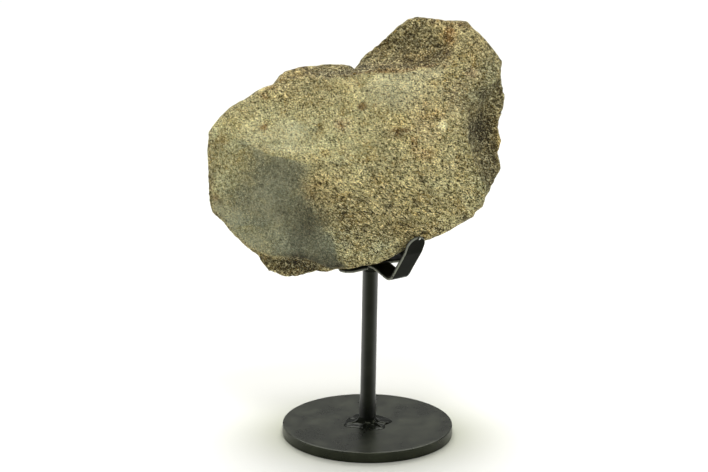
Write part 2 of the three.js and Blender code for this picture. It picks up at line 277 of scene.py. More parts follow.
def vertex_normals(points, triangles):
    """Unit normals from the sum of the neighbouring triangles' cross products."""
    a, b, c = (points[triangles[:, k]] for k in range(3))
    face = np.cross(b - a, c - a)
    total = np.stack(
        [
            sum(np.bincount(triangles[:, k], face[:, axis], len(points)) for k in range(3))
            for axis in range(3)
        ],
        axis=1,
    )
    return total / np.maximum(np.linalg.norm(total, axis=1, keepdims=True), 1e-12)


def split_quads(points, quads):
    """Two triangles for each quad, cut along its shorter diagonal."""
    p, q, r, t = points[quads].transpose(1, 0, 2)
    short = np.linalg.norm(p - r, axis=1) < np.linalg.norm(q - t, axis=1)
    first = np.where(short[:, None], quads[:, [0, 1, 2]], quads[:, [0, 1, 3]])
    second = np.where(short[:, None], quads[:, [0, 2, 3]], quads[:, [1, 2, 3]])
    return np.concatenate([first, second])


def all_triangles(faces):
    """Every face of 3 or 4 corners as triangles, the quads cut between their first and third."""
    others = [part[:, [0, 2, 3]] for part in faces if part.shape[1] == 4]
    return np.concatenate([part[:, :3] for part in faces] + others)


def grid_quads(rows, columns, wrap_rows=False, wrap_columns=False):
    """Corner numbers of the quads of a grid whose points are numbered row by row."""
    i = np.arange(rows if wrap_rows else rows - 1)
    j = np.arange(columns if wrap_columns else columns - 1)
    i, j = np.meshgrid(i, j, indexing="ij")
    i, j = i.ravel(), j.ravel()
    below, right = (i + 1) % rows, (j + 1) % columns
    return np.stack(
        [i * columns + j, i * columns + right, below * columns + right, below * columns + j], 1
    )


def new_piece(name, points, faces, material, smooth=True):
    """Writes millimetre points and faces of 3 or 4 corners into a mesh object at the origin."""
    mesh = bpy.data.meshes.new(name)
    mesh.vertices.add(len(points))
    mesh.vertices.foreach_set("co", (points * MM).astype(np.float32).ravel())
    mesh.loops.add(sum(f.size for f in faces))
    numbers = np.concatenate([f.ravel() for f in faces])
    mesh.loops.foreach_set("vertex_index", numbers.astype(np.int32))
    sizes = np.concatenate([np.full(len(f), f.shape[1]) for f in faces])
    starts = np.concatenate([[0], np.cumsum(sizes)[:-1]])
    mesh.polygons.add(len(sizes))
    mesh.polygons.foreach_set("loop_start", starts.astype(np.int32))
    mesh.update(calc_edges=True)
    mesh.validate()
    mesh.polygons.foreach_set("use_smooth", np.full(len(sizes), smooth))
    mesh.materials.append(material)
    piece = bpy.data.objects.new(name, mesh)
    bpy.context.scene.collection.objects.link(piece)
    return piece


def set_masks(piece, masks):
    """Stores each mask, one number a vertex, as a point attribute of its name."""
    for name, values in masks.items():
        attribute = piece.data.attributes.new(name, "FLOAT", "POINT")
        attribute.data.foreach_set("value", values.astype(np.float32))


def stand_for(piece, node):
    """The piece rides on the one body, and is shown for that node, whose solid is hidden."""
    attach(piece, "root")
    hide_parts(node)


# ---- The bone's surface --------------------------------------------------------------

def radius_table():
    """The outline as (degrees, distance) from the bone's centre, in order of angle."""
    corner = np.array(OUTLINE, float) - BONE_CENTRE
    degrees = np.degrees(np.arctan2(corner[:, 1], corner[:, 0])) % 360
    order = np.argsort(degrees)
    return np.stack([degrees, np.hypot(corner[:, 0], corner[:, 1])], 1)[order]


def facet_depths(facets, u, w):
    """Each facet's plane: its own depth plus slopes times the way from its own point."""
    return np.stack(
        [depth + du * (u - u0) + dw * (w - w0) for u0, w0, depth, du, dw in facets.values()]
    )


def soft_lowest(depths):
    """The lowest of several depths, with ridges rounded as -log(sum of exp(-k d)) / k."""
    return -np.log(np.exp(-RIDGE_SHARPNESS * depths).sum(0)) / RIDGE_SHARPNESS


def place_mask(places, u, w):
    """The strongest of several soft ellipses, each strength * exp(-(distance / half size)^2)."""
    mask = np.zeros_like(u)
    for u0, w0, half_u, half_w, strength in places:
        mask = np.maximum(mask, strength * bell(u, u0, half_u) * bell(w, w0, half_w))
    return mask


def front_depth(u, w):
    """Lowest of the front's facets, the fall past the crest, the undercut and the right break,
    less the hollow. Also the shares of the crest's fall and the right break, each near 1 where it
    is the lowest."""
    past_notch = np.maximum(0, u - NOTCH_U)
    lead = CREST_LEAD - CREST_LEAD_LOSS * past_notch
    past_crest = CREST_FALL * softplus(along(CREST, u) + lead - w, CREST_FOOT)
    past_crest += CREST_FLOOR + CREST_FLOOR_RISE * past_notch
    undercut = UNDERCUT_FALL * softplus(w - along(UNDERCUT, u) + UNDERCUT_LEAD, UNDERCUT_FOOT)
    undercut += along(UNDERCUT_FLOOR, u)
    right_break = RIGHT_FALL * softplus(along(RIGHT_CREST, w) + RIGHT_LEAD - u, RIGHT_FOOT)
    right_break += RIGHT_FLOOR
    falls = [undercut, past_crest, right_break]
    depths = np.concatenate([facet_depths(FRONT_FACETS, u, w), falls])
    share = np.exp(-RIDGE_SHARPNESS * (depths - depths.min(0)))
    past_crest_share, right_break_share = (share / share.sum(0))[-2:]
    shares = {"past_crest": past_crest_share, "right_break": right_break_share}
    return soft_lowest(depths) - place_mask(HOLLOW, u, w), shares


def shoulder_profile(squareness, s):
    """A quarter superellipse from face centre (s = 0) to rim (s = 1), stepped evenly along its
    length: how far out, and what part of the depth is left."""
    angle = np.linspace(0, pi / 2, 401)
    reach = np.sin(angle) ** (2 / squareness)
    depth = np.abs(np.cos(angle)) ** (2 / squareness)
    steps = np.hypot(TYPICAL_RADIUS * np.diff(reach), TYPICAL_DEPTH * np.diff(depth))
    length = np.concatenate([[0], np.cumsum(steps)]) / steps.sum()
    return np.interp(s, length, reach), np.interp(s, length, depth)


def lumps(points):
    """Long low sine waves in fixed directions spread over a sphere, from tall to shallow."""
    count, longest, shrink, steepness = LUMPS
    height = np.zeros(len(points))
    for i in range(count):
        wavelength = longest * shrink**i
        rise = 1 - 2 * (i + 0.5) / count
        turn = 2.4 * i
        flat = (1 - rise * rise) ** 0.5
        way = np.array([flat * cos(turn), flat * sin(turn), rise])
        height += steepness * wavelength * np.sin(2 * pi * (points @ way) / wavelength + turn)
    return height


def bone_base(cells):
    """The closed surface before its fine relief. Two square grids, front and back, are bent so
    that nested squares become nested copies of the outline, and they share their border, the rim.
    Gives points, quads, and values at each point: its side (-1 is the front), how far it reaches
    toward the rim, and the breaks' shares."""
    line = np.linspace(-1, 1, cells + 1)
    a, b = np.meshgrid(line, line)
    a, b = a.ravel(), b.ravel()
    across = np.abs(a) > np.abs(b)
    s = np.where(across, a, b)
    ratio = np.where(across, b, a) / np.where(s == 0, 1, s)
    angle = np.where(across, pi / 4 * ratio, pi / 2 - pi / 4 * ratio)
    u1, w1 = np.sign(s) * np.cos(angle), np.sign(s) * np.sin(angle)
    degrees = np.degrees(np.arctan2(w1, u1)) % 360
    radius, rim = around(radius_table(), degrees), around(RIM_DEPTH, degrees)
    border = np.abs(s) == 1

    def side_points(side, squareness):
        reach, depth = shoulder_profile(squareness, np.abs(s))
        out = radius * reach * (1 - BACK_DRAFT * depth if side > 0 else 1)
        u, w = BONE_CENTRE[0] + out * u1, BONE_CENTRE[1] + out * w1
        front, share = front_depth(u, w)
        face = soft_lowest(facet_depths(BACK_FACETS, u, w)) if side > 0 else -front
        return np.stack([u, rim * (1 - depth) + face * depth, w], 1), reach, share

    front_points, front_reach, share = side_points(-1, FRONT_SQUARENESS)
    back_points, back_reach, _ = side_points(1, BACK_SQUARENESS)
    inner = ~border
    count = len(a)
    back_number = np.arange(count)
    back_number[inner] = count + np.arange(inner.sum())
    quads = grid_quads(cells + 1, cells + 1)
    points = np.concatenate([front_points, back_points[inner]])
    values = {
        "side": np.concatenate([np.full(count, -1.0), np.ones(inner.sum())]),
        "reach": np.concatenate([front_reach, back_reach[inner]]),
    }
    for name, part in share.items():
        values[name] = np.concatenate([part, np.zeros(inner.sum())])
    return points, np.concatenate([quads, back_number[quads][:, ::-1]]), values


# Places of the bone's looks are laid out as they appear from LOOK_DISTANCE in front of its frame,
# level with u = LOOK_U. Where the grey ends: its top as (u, w), its left and right as (w, u).
LOOK_DISTANCE = 900
LOOK_U = -6.5
GREY_TOP = [(-56, 41.5), (-52, 39.5), (-42, 35), (-33, 32.9), (-29, 31.6), (-22, 29)]
GREY_LEFT = [
    (-12, -43), (-3.5, -46), (3, -52), (8.5, -57), (14, -60), (18, -59.5), (22, -56.5), (25, -54),
    (29, -52), (40, -49),
]
GREY_RIGHT = [
    (-16, -9), (-13, -11.5), (-9, -15), (-2.6, -14.5), (6.3, -18), (13.5, -22), (20, -26),
    (32, -27.5),
]
# The brown break under the lower left starts below this line.
LEDGE = [
    (-50, -7), (-42, -9.3), (-32, -9.7), (-27, -10.6), (-24, -11.6), (-20, -13.6), (-15, -15.5),
    (0, -30),
]

# Places on the bone are (u, w, half width, half height, strength).
# Darker places: partly darker bone, partly painted shade, as under the grey's lower ledge, in the
# right hollow, on the fall past the crest and at the notch.
DARK_AND_PAINTED_SHADE_PLACES = [
    (49.5, 46.5, 6, 11, 1.15), (51, 61, 6.5, 9, 0.75), (53, 31, 4.5, 8, 0.7), (45, 61, 4, 8, 0.45),
    (16, 82, 17, 8, 0.55), (20, 76.5, 12, 2.2, 0.55), (45, 84, 8, 9, 0.25), (40, 92, 6, 3, 0.4),
    (-33.3, 69, 2.2, 1.8, 0.5), (-35, -12, 15, 3, 0.7), (-27, -13, 9, 3.5, 0.95),
    (0, 30, 1.8, 1.8, 0.5), (7.5, 15, 1.5, 2.2, 0.6), (-12, 30, 3, 1.4, 0.5),
    (-4, 16, 2.6, 1.2, 0.4), (21.5, 29.5, 1.8, 2, 0.35), (23.5, 26, 3, 2.6, 0.4),
    (28, 3, 3, 2.4, 0.6), (18, 9, 1.6, 1.8, 0.4), (0.5, 10.5, 1.8, 2.2, 0.4),
    (0, 1, 1.6, 1.2, 0.35), (42.2, 9.2, 2.6, 2.2, 1.0), (39.5, 92.5, 4, 2.5, 0.8),
    (-28, 2, 9, 12, 0.55), (-20, -8, 5, 5, 0.5), (-14, -13, 4, 3, 0.9), (-32, -7, 4, 3, 0.5),
    (-42, 18, 12, 12, 0.12), (-17, -10, 7, 4, 0.6), (-19, 9, 6, 7, 0.6), (-68, 34, 4, 7, 0.3),
    (-28, 64, 4, 7, 0.25), (49, 80.5, 1.4, 1.4, 0.55), (-14.5, 12, 3.5, 11, 0.5),
    (-9, 1, 4, 6, 0.45), (4, -5, 10, 4, 0.4), (0, 4, 14, 6, 0.25), (8, 6, 5, 6, 0.35),
    (45.5, 75.5, 2.4, 1.4, 0.4), (-38, 18, 6, 9, 0.2), (-31, -12, 13, 3, 1.0),
    (-66, 31, 6, 9, 0.25), (41, 52, 4.5, 9, 0.45), (38, 61, 6, 7, 0.35), (40, 71, 5, 4, 0.45),
    (51, 74, 6, 5, 0.5), (41, 34, 4, 6, 0.2), (5, 44, 5, 5, 0.2), (48, 30, 4, 6, 0.35),
    (-14, 71, 10, 2, 0.6), (-2, 74.5, 5, 2.6, 1.1), (4, 76, 5, 2.5, 0.85), (-12, 71, 5, 1.6, 0.8),
    (47, 84, 8, 9, 0.35), (5, 33, 4, 4, 0.2), (-27, -8, 8, 4, 0.45), (-12, 60, 3, 4, 0.15),
    (-24, 30, 4, 2, 0.3), (-52, 59, 6, 3, 0.2), (-24, 68, 7, 5, 0.5), (11, 78, 6, 4, 0.75),
    (27, 78, 4.5, 5, 0.6), (45.5, 47, 4.5, 7, 1.1), (51.5, 33, 4, 6, 0.95),
    (-31, -9.5, 9, 2.2, 0.95), (-18, -13.5, 7, 2.5, 0.9), (-20, 17, 4.5, 5, 0.6),
    (-12, 11, 4, 6, 0.7), (-37, 26, 6, 6, 0.3), (-39, 12, 5, 4, 0.5), (-26, 7, 7, 6, 0.5),
    (-9, 6, 5, 5, 0.5), (8, 14, 3, 4, 0.6), (6, 0, 6, 5, 0.65), (-10, -3, 5, 4, 0.45),
    (-69, 28, 3, 5, 0.5), (7, 45, 3, 2.5, 0.45), (9, 61, 3, 3, 0.3), (18, 33, 3, 2.5, 0.3),
    (-25, 65, 4, 4, 0.6), (11.3, 45.8, 3, 2, 0.85), (15.5, 47, 3, 1.5, 0.55),
    (-47.5, 61.2, 2.4, 1.8, 0.75), (0, 29, 3, 3, 0.35), (-3.4, 57.3, 2.2, 1.6, 0.4),
    (12, 60, 4, 4, 0.4), (34.5, 36, 3, 3, 0.3), (-67, 38, 4, 5, 0.35), (-25, 43, 4, 4, 0.15),
    (-1, 73, 4, 2, 1.1), (-32, -11, 9, 2, 1.1),
]
# Lighter places: partly lighter bone, partly painted light.
LIGHT_AND_PAINTED_LIGHT_PLACES = [
    (-65, 48, 8, 5, 0.45), (-57, 48, 6, 4, 0.45), (-45, 63, 5, 3, 0.45), (-45, 49, 4, 3, 0.3),
    (-38, 62, 4, 3, 0.3), (-30, 58, 6, 3, 0.2), (-8, 61, 4, 4, 0.45), (-20, 37, 6, 5, 0.45),
    (-14, 44, 5, 4, 0.2), (5, 69, 6, 4, 0.3), (26, 67, 4, 4, 0.3), (13, 51, 4, 3.5, 0.6),
    (17, 43, 2.5, 2.5, 0.3), (2, 57, 3, 3, 0.2), (36, 71, 3, 4, 0.25), (28, 33, 5, 5, 0.3),
    (36, 22, 5, 5, 0.35), (46, 20, 3, 5, 0.35), (-8, 24, 6, 3.5, 0.35), (5, 25, 5, 4, 0.25),
    (15, 22, 5, 4, 0.3), (-2, 18, 4, 3, 0.25), (34, 8, 4, 4, 0.25), (-40, 0, 5, 4, 0.35),
    (3, 84, 3, 4, 0.35), (33, 87, 4, 4, 0.5), (-46, -14, 4, 2, 0.4), (43.3, 71.5, 3, 2, 0.4),
    (31.4, 49.3, 2, 2, 0.75), (32.5, 75, 2.5, 2.5, 0.35), (36, 88.5, 2.5, 4, 0.55),
    (-43, 65, 5, 2, 0.45), (-31, 71.8, 7, 1.5, 0.4), (42, 41, 3, 4, 0.4), (57, 42, 2.5, 6, 0.8),
    (26, 54, 4, 3, 0.4), (37, 77, 3, 5, 0.3), (-38, 37, 5, 2, 0.3),
]
PALE_PLACES = [
    (13, 64, 17, 10, 1.0), (-33, 44, 15, 8, 0.7), (-50, 45, 12, 6, 0.6), (-44, 39, 10, 4, 0.6),
    (-8, 23, 4, 3, 0.4), (-40, 12, 5, 12, 0.35), (24, 70, 5, 3, 0.8), (-14, 61, 12, 5, 0.35),
    (32.5, 76.5, 3, 3, 0.7), (31.5, 49.4, 2.4, 2.2, 1.3), (35, 31, 6, 5, 0.5), (42, 16, 4, 5, 0.4),
    (30, 66, 1.8, 8, 0.7), (-10, -4, 4, 3, 0.5), (-35, 38, 10, 3, 0.8), (44, 60, 3, 6, 0.4),
    (-8, 40, 8, 6, 0.3), (-61, 6, 7, 7, 0.7), (-52, -3, 7, 5, 0.6), (-67, 12, 4, 6, 0.5),
]
RUST_PLACES = [
    (-3.4, 57.3, 2.4, 1.9, 1.0), (2.3, 57.4, 2.4, 1.6, 0.5), (-12.5, 48.5, 2.2, 1.8, 0.7),
    (11.3, 45.8, 3.2, 2.1, 0.9), (15.5, 47, 2.8, 1.5, 0.9), (19.4, 41, 1.9, 4.6, 0.9),
    (-46.6, 47.3, 2.8, 1.9, 0.8), (-46.5, 61, 2.2, 1.8, 0.7), (25.5, 36.3, 4.6, 2.2, 0.7),
    (31.5, 52.6, 4, 1.6, 0.5), (32, 75.5, 3, 2.4, 0.6), (34.5, 88, 3.2, 6, 0.85),
    (39.5, 92.5, 5, 2, 0.7), (27, 94, 5, 1.8, 0.5), (33, 80, 3, 6, 0.5), (19, 78, 7, 3, 0.45),
    (26, 35.5, 5, 3, 0.6), (-44, 65, 5.5, 2, 0.6), (-39.5, 68.5, 3, 2.6, 0.6),
    (-30, 73.5, 9, 1.8, 0.45), (-67.5, 16, 2.4, 2.2, 0.6), (-70, 22, 2, 4, 0.5),
    (2, 20, 3, 2, 0.35), (8, 18.5, 1.8, 1.4, 0.6), (-7.5, 7.6, 4, 2.4, 0.4), (31, 5, 11, 2.6, 0.4),
    (-26, 20, 5, 8, 0.4), (-46, -10, 3, 3, 0.5), (-30, -15, 6, 2, 0.3), (-18, 65, 3, 3, 0.4),
    (-22, 58, 2.5, 3, 0.4), (24, 58, 2, 2.5, 0.5), (-14, 30, 5, 5, 0.25),
]
WARM_PLACES = [
    (43.3, 71.5, 4, 2.6, 1.0), (38, 62, 8, 9, 0.5), (24, 48, 9, 11, 0.5), (22, 38, 6, 5, 0.4),
    (-12, 49, 5, 4, 0.6), (-38, 66, 9, 4, 0.4), (-5, 66, 8, 4, 0.3), (36, 84, 5, 8, 0.3),
]
# Where the bone is greener, and where it is more golden.
COOL_PLACES = [
    (4, -6, 11, 5, 1.0), (-15, -4, 10, 7, 0.8), (-35, -4, 14, 7, 0.6), (-54, 3, 9, 6, 0.8),
    (-63, 22, 7, 9, 0.7), (-57, 38, 9, 5, 0.6), (-42, 40, 10, 3, 0.5), (-67, 45, 5, 6, 0.6),
    (-28, 48, 10, 6, 0.5), (-42, 53, 6, 4, 0.5), (-20, 42, 8, 6, 0.5), (-11, 33, 8, 5, 0.5),
    (48, 21, 6, 9, 1.1), (43, 40, 4, 9, 0.6), (46, 62, 8, 5, 0.8), (53, 70, 5, 8, 0.8),
    (33, 6, 8, 4, 0.5), (32, 22, 7, 4, 0.6), (36, 36, 4, 4, 0.4), (-40, 20, 12, 8, 0.3),
]
GOLDEN_PLACES = [
    (20, 78, 9, 5, 1.0), (33, 88, 5, 7, 1.0), (45, 84, 6, 6, 0.6), (24, 58, 7, 6, 0.5),
    (16, 2, 7, 4, 0.6), (10, 6, 9, 5, 0.3), (-22, 20, 8, 9, 0.8), (-32, 71, 9, 3, 0.7),
    (-13, 66, 7, 4, 0.5), (-24, 62, 8, 5, 0.3), (57, 42, 3, 9, 0.9), (24, 37, 6, 4, 0.5),
    (4, 84, 6, 6, 0.4), (10, 46, 8, 6, 0.3), (12, 14, 8, 5, 0.2), (-47.5, 61, 3, 2, 0.8),
    (8, 74.5, 9, 2.5, 1.0), (40, 92.5, 5, 3, 0.8),
]

# The fibrous middle is (u, w, half width, half height), and ends more sharply than the spots do.
FIBRE_PLACE = (9, 9, 42, 23)
GREY_PATCH = [(50, 58, 6, 11, 0.5)]
CRUMBLY_SHOULDER = [(-40, 62, 14, 8, 1)]
# Bands along the crest line: strength, height over the line, half width, and the two stretches
# along u where it fades in and fades out.
CREST_BANDS = {
    "pale": (1.2, -3.5, 3, (-2, 4), (34, 28)),
    # The dark band is painted shade on the fall past the crest, which faces up into the light.
    "dark": (0.85, 2.6, 2.2, (-32, -24), (36, 30)),
    "rust": (0.85, 0.3, 0.9, (-16, -8), (32, 26)),
}
# How far, in millimetres, noise pushes the borders of the looks and of the rust.
LOOK_SWAY = 1.3
RUST_SWAY = 0.6

# Pits are (u, w, half width, depth).
PITS = [
    (-46.8, 21.5, 0.9, 0.8), (-65.3, 14.5, 1.3, 0.9), (13.2, 43.2, 1.3, 0.6),
    (-20.5, 30.6, 0.8, 0.5),
]
# Scratches are (u, w) at each end, half width and depth.
SCRATCHES = [(2.7, 39.9, 12.4, 31.1, 0.5, 0.4), (-8.5, 16.6, -1, 14.2, 0.6, 0.6)]

# The noises of the fine relief: wavelength in millimetres, octaves and seed.
BORDER_NOISES = [(9, 3, 31), (9, 3, 41)]
BACK_GREY_NOISE = (34, 3, 51)
WAVES = (7, 3, 3)
RIPPLES = (1.7, 2, 9)
BREAKS = (6, 3, 13)
GROOVE_BENDS = [(30, 3, 81), (30, 3, 83), (30, 3, 89)]
# Its streaks: degrees in the face, length, width and seed. The second slits are the steep ones.
SLIT_STREAKS = [(-16, 2.8, 0.9, 61), (-40, 2.8, 0.9, 67)]
GREY_STREAK_TURN = 72
GREY_STREAKS = (GREY_STREAK_TURN, 9, 1.6, 71)
# Its cells: size and seed.
SPONGE_CELLS = (2.6, 17)
CRUMB_CELLS = (1.3, 23)
PORE_CELLS = (5.5, 107)
PORE_SHARE = 0.4
# Its grooves: how far the noise is bent, its wavelength and seed, and how wide and how deep.
GROOVES = [(5, 24, 97, 0.07, 1), (4, 13, 101, 0.06, 0.6)]
# Its heights and depths, in millimetres.
WAVE_HEIGHT = 0.34
WAVE_LOSS_ON_GREY = 0.1
RIPPLE_HEIGHT = 0.07
BREAK_HEIGHT = 0.85
BREAK_LOSS_AT_RIM = 0.4
HOLE_DEPTH = 0.75
CRUMB_DEPTH = 0.3
SLIT_DEPTH = 0.3
GREY_STREAK_HEIGHT = 0.1
GROOVE_DEPTH = 0.75
PORE_DEPTH = 0.5


def scratch_depth(points):
    """Each scratch's depth times exp(-(distance from its line / half width)^2), the deepest one."""
    depth = np.zeros(len(points))
    for u0, w0, u1, w1, half, deep in SCRATCHES:
        way = np.array([u1 - u0, w1 - w0])
        from_start = points[:, [0, 2]] - (u0, w0)
        part = np.clip(from_start @ way / (way @ way), 0, 1)
        off = np.linalg.norm(from_start - part[:, None] * way, axis=1)
        depth = np.maximum(depth, deep * bell(off, 0, half))
    return depth


def streaks(points, degrees, length, width, seed):
    """Value noise stretched to that length along one direction of the face and that width across
    it."""
    c, s = cos(radians(degrees)), sin(radians(degrees))
    run = points[:, 0] * c + points[:, 2] * s
    across = points[:, 2] * c - points[:, 0] * s
    stretched = np.stack([run / length, across / width, points[:, 1] / (2 * width)], 1)
    return value_noise(stretched, 1, seed)


def bone_masks(points, values):
    """Where each look of the bone is found, from the breaks' shares and the placed spots. Each mask
    is about 0 to 1, but dark, which holds darker bone and painted shade, is below 0 at the lighter
    places, which hold lighter bone and painted light, and cool is below 0 where the bone is golden.
    Each smoothstep goes from where a look is absent to where it is full."""
    warp_u, warp_w = (fractal(points, *noise) for noise in BORDER_NOISES)
    larger = LOOK_DISTANCE / (LOOK_DISTANCE + points[:, 1])
    seen_u, seen_w = (points[:, 0] - LOOK_U) * larger + LOOK_U, points[:, 2] * larger
    u, w = seen_u + LOOK_SWAY * warp_u, seen_w + LOOK_SWAY * warp_w
    front, reach = values["side"] < 0, values["reach"]

    def on_sides(mask, back_share):
        """The mask on the front, and only a share of it on the back."""
        return mask * np.where(front, 1, back_share)

    # The broken sides: the rim's wall, what is past the crest or the right break, and the ledge.
    front_wall = 0.6 * smoothstep(0.965, 0.995, reach)
    wall = np.where(front, front_wall, smoothstep(0.86, 0.94, reach))
    spongy = smoothstep(0.3, 0.7, values["past_crest"]) * smoothstep(42, 31, u)
    hollow = 0.85 * smoothstep(0.1, 1.0, values["right_break"]) * smoothstep(80, 66, w)
    ledge = smoothstep(-0.7, 0.7, along(LEDGE, seen_u) - seen_w - 0.5 * warp_w) * front
    broken = np.clip(spongy + ledge + hollow + wall, 0, 1)

    # Smooth grey between its left and right lines, strongest low down, and under its top line.
    left = smoothstep(-20, 12, u - along(GREY_LEFT, w))
    softer = 0.15 + 0.85 * smoothstep(-8, 6, w)
    right = smoothstep(1.05, -0.95, (u - along(GREY_RIGHT, w)) / (9 * softer))
    grey = np.maximum(left, 0.7 * smoothstep(22, 10, w)) * right * (1 - ledge)
    grey = grey * smoothstep(0.9, -0.7, seen_w + 0.6 * warp_w - along(GREY_TOP, seen_u))
    grey = np.maximum(grey, place_mask(GREY_PATCH, u, w)) * front
    back_grey = smoothstep(0.1, 0.6, fractal(points, *BACK_GREY_NOISE)) * ~front * (1 - wall)

    # Fibres in the middle, and crumbs there, to the right, on one shoulder and on the breaks.
    fibre_u, fibre_w, half_u, half_w = FIBRE_PLACE
    fibre = np.exp(-(((u - fibre_u) / half_u) ** 4) - ((w - fibre_w) / half_w) ** 4)
    fibre = fibre * front * (1 - broken) * (1 - 0.8 * grey)
    crumbly = np.maximum(smoothstep(-5, 30, u), place_mask(CRUMBLY_SHOULDER, u, w))
    crumbly = np.maximum(crumbly * front * (1 - ledge), fibre)

    # Bands that follow the crest line, which join the placed spots; the dark band is painted shade
    # on the fall past the crest.
    above = points[:, 2] + 0.3 * warp_w - along(CREST, points[:, 0])
    bands = {}
    for name, (strength, middle, half, start, end) in CREST_BANDS.items():
        stretch = smoothstep(*start, u) * smoothstep(*end, u) * front
        bands[name] = strength * bell(above, middle, half) * stretch
    shade = np.maximum(place_mask(DARK_AND_PAINTED_SHADE_PLACES, u, w), bands["dark"])
    pale = np.maximum(place_mask(PALE_PLACES, u, w), bands["pale"])
    rust = place_mask(RUST_PLACES, seen_u + RUST_SWAY * warp_u, seen_w + RUST_SWAY * warp_w)
    return {
        "broken": broken,
        "crumbly": np.maximum(crumbly, broken - 0.6 * ledge),
        "grey": np.clip(grey + 0.7 * back_grey, 0, 1),
        "fibre": fibre,
        # Darker bone and painted shade, less lighter bone and painted light.
        "dark": on_sides(shade - place_mask(LIGHT_AND_PAINTED_LIGHT_PLACES, u, w), 0.5 * wall),
        "pale": on_sides(pale, 0.6) * (1 - 0.6 * broken),
        "rust": on_sides(np.maximum(rust, bands["rust"]), 0.5),
        "warm": on_sides(place_mask(WARM_PLACES, u, w), 0.4),
        "cool": on_sides(place_mask(COOL_PLACES, u, w) - place_mask(GOLDEN_PLACES, u, w), 0),
    }


def bone_relief(points, values, masks):
    """Height of the fine relief in millimetres, and how deep in a pit each point is, from 0 to 1.
    Soft waves everywhere, spongy cells on the breaks, short slits along the fibre and vessel
    grooves wandering over the back, each a sum or threshold of the noises above."""
    front, rough, grey = values["side"] < 0, masks["broken"], masks["grey"]
    back = ~front * (1 - rough)
    height = (WAVE_HEIGHT - WAVE_LOSS_ON_GREY * grey) * fractal(points, *WAVES)
    height += RIPPLE_HEIGHT * fractal(points, *RIPPLES)
    at_rim = values["reach"] ** 12
    height += rough * (BREAK_HEIGHT - BREAK_LOSS_AT_RIM * at_rim) * fractal(points, *BREAKS)
    # Spongy holes and finer crumbs on the breaks.
    sponge, _ = cell_distance(points, *SPONGE_CELLS)
    crumbs, _ = cell_distance(points, *CRUMB_CELLS)
    hole = smoothstep(0.5, 0.2, sponge) * rough
    height -= HOLE_DEPTH * hole + CRUMB_DEPTH * rough * smoothstep(0.5, 0.15, crumbs)

    # Slits along the fibre, the steeper ones only to the right, and soft streaks in the grey.
    slit, steep = (
        smoothstep(0.3, 0.6, streaks(points, *row)) * masks["fibre"] for row in SLIT_STREAKS
    )
    slit = np.maximum(slit, steep * smoothstep(-5, 15, points[:, 0]))
    height -= SLIT_DEPTH * slit
    height += GREY_STREAK_HEIGHT * grey * streaks(points, *GREY_STREAKS)

    # Grooves on the back run where bent noise passes through nought.
    bend = np.stack([fractal(points, *noise) for noise in GROOVE_BENDS], 1)
    groove = sum(
        deep * bell(value_noise(points + bent * bend, wavelength, seed), 0, wide)
        for bent, wavelength, seed, wide, deep in GROOVES
    )
    height -= GROOVE_DEPTH * back * np.clip(groove, 0, 1.2)

    pits = scratch_depth(points)
    for u, w, half, depth in PITS:
        pits += depth * bell(points[:, 0], u, half) * bell(points[:, 2], w, half)
    pits *= front
    # Pores in a share of the cells, away from the breaks.
    scatter, chance = cell_distance(points, *PORE_CELLS)
    pores = smoothstep(0.17, 0.06, scatter) * (chance < PORE_SHARE) * (1 - rough)
    height -= pits + PORE_DEPTH * pores
    # How much painted shade each hole, slit, pit, pore and groove gets.
    pit_shade = np.clip(0.8 * hole + 0.45 * slit + pits + 0.8 * pores + 0.4 * back * groove, 0, 1)
    return height, pit_shade


def seat_on_cradle(points):
    """Flattens what would hang below the cradle's strips near the post, as where the bone rests."""
    x, y = SEAT_CENTRE
    floor = SEAT_Z - np.maximum(0, np.hypot(points[:, 0] - x, points[:, 1] - y) - SEAT_REACH)
    points[:, 2] = floor + softplus(points[:, 2] - floor, 0.15)
    return points


def bone_surface(cells):
    """Base surface, then the long lumps, then the fine relief along its normals, then the lean."""
    points, quads, values = bone_base(cells)
    normals = vertex_normals(points, split_quads(points, quads))
    weight = 1 - 0.7 * values["reach"] ** 8
    points = points + normals * (weight * lumps(points))[:, None]
    triangles = split_quads(points, quads)
    normals = vertex_normals(points, triangles)
    masks = bone_masks(points, values)
    height, pit_shade = bone_relief(points, values, masks)
    masks["pit_shade"] = pit_shade
    c, s = cos(BONE_LEAN), sin(BONE_LEAN)
    u, v, w = (points + normals * height[:, None]).T
    world = np.stack([u, v * c + w * s, BONE_HEIGHT + w * c - v * s], 1)
    return seat_on_cradle(world), triangles, masks


# ---- The stand's surfaces ------------------------------------------------------------

def turned_surface(profile, steps):
    """A profile of (radius, height) that starts and ends on the axis, turned round Z. Each row is
    one profile point all the way round, and the two ends are single points."""
    turn = np.arange(steps) * 2 * pi / steps
    rings = np.array(profile[1:-1], float)
    flat = np.stack([rings[:, :1] * np.cos(turn), rings[:, :1] * np.sin(turn)], 2)
    heights = np.repeat(rings[:, 1:, None], steps, axis=1)
    ring = np.concatenate([flat, heights], axis=2).reshape(-1, 3)
    points = np.concatenate([[[0, 0, profile[0][1]]], ring, [[0, 0, profile[-1][1]]]])
    quads = 1 + grid_quads(len(rings), steps, wrap_columns=True)
    nxt = (np.arange(steps) + 1) % steps
    first = np.stack([np.zeros(steps, int), 1 + nxt, 1 + np.arange(steps)], 1)
    start = 1 + (len(rings) - 1) * steps
    last = np.stack([np.full(steps, len(points) - 1), start + np.arange(steps), start + nxt], 1)
    return points, [quads, first, last]


def round_corner(centre, radius, start, end):
    """Five points on an arc, from one angle in degrees to another."""
    angle = np.radians(np.linspace(start, end, 5))
    return [*zip(centre[0] + radius * np.cos(angle), centre[1] + radius * np.sin(angle))]


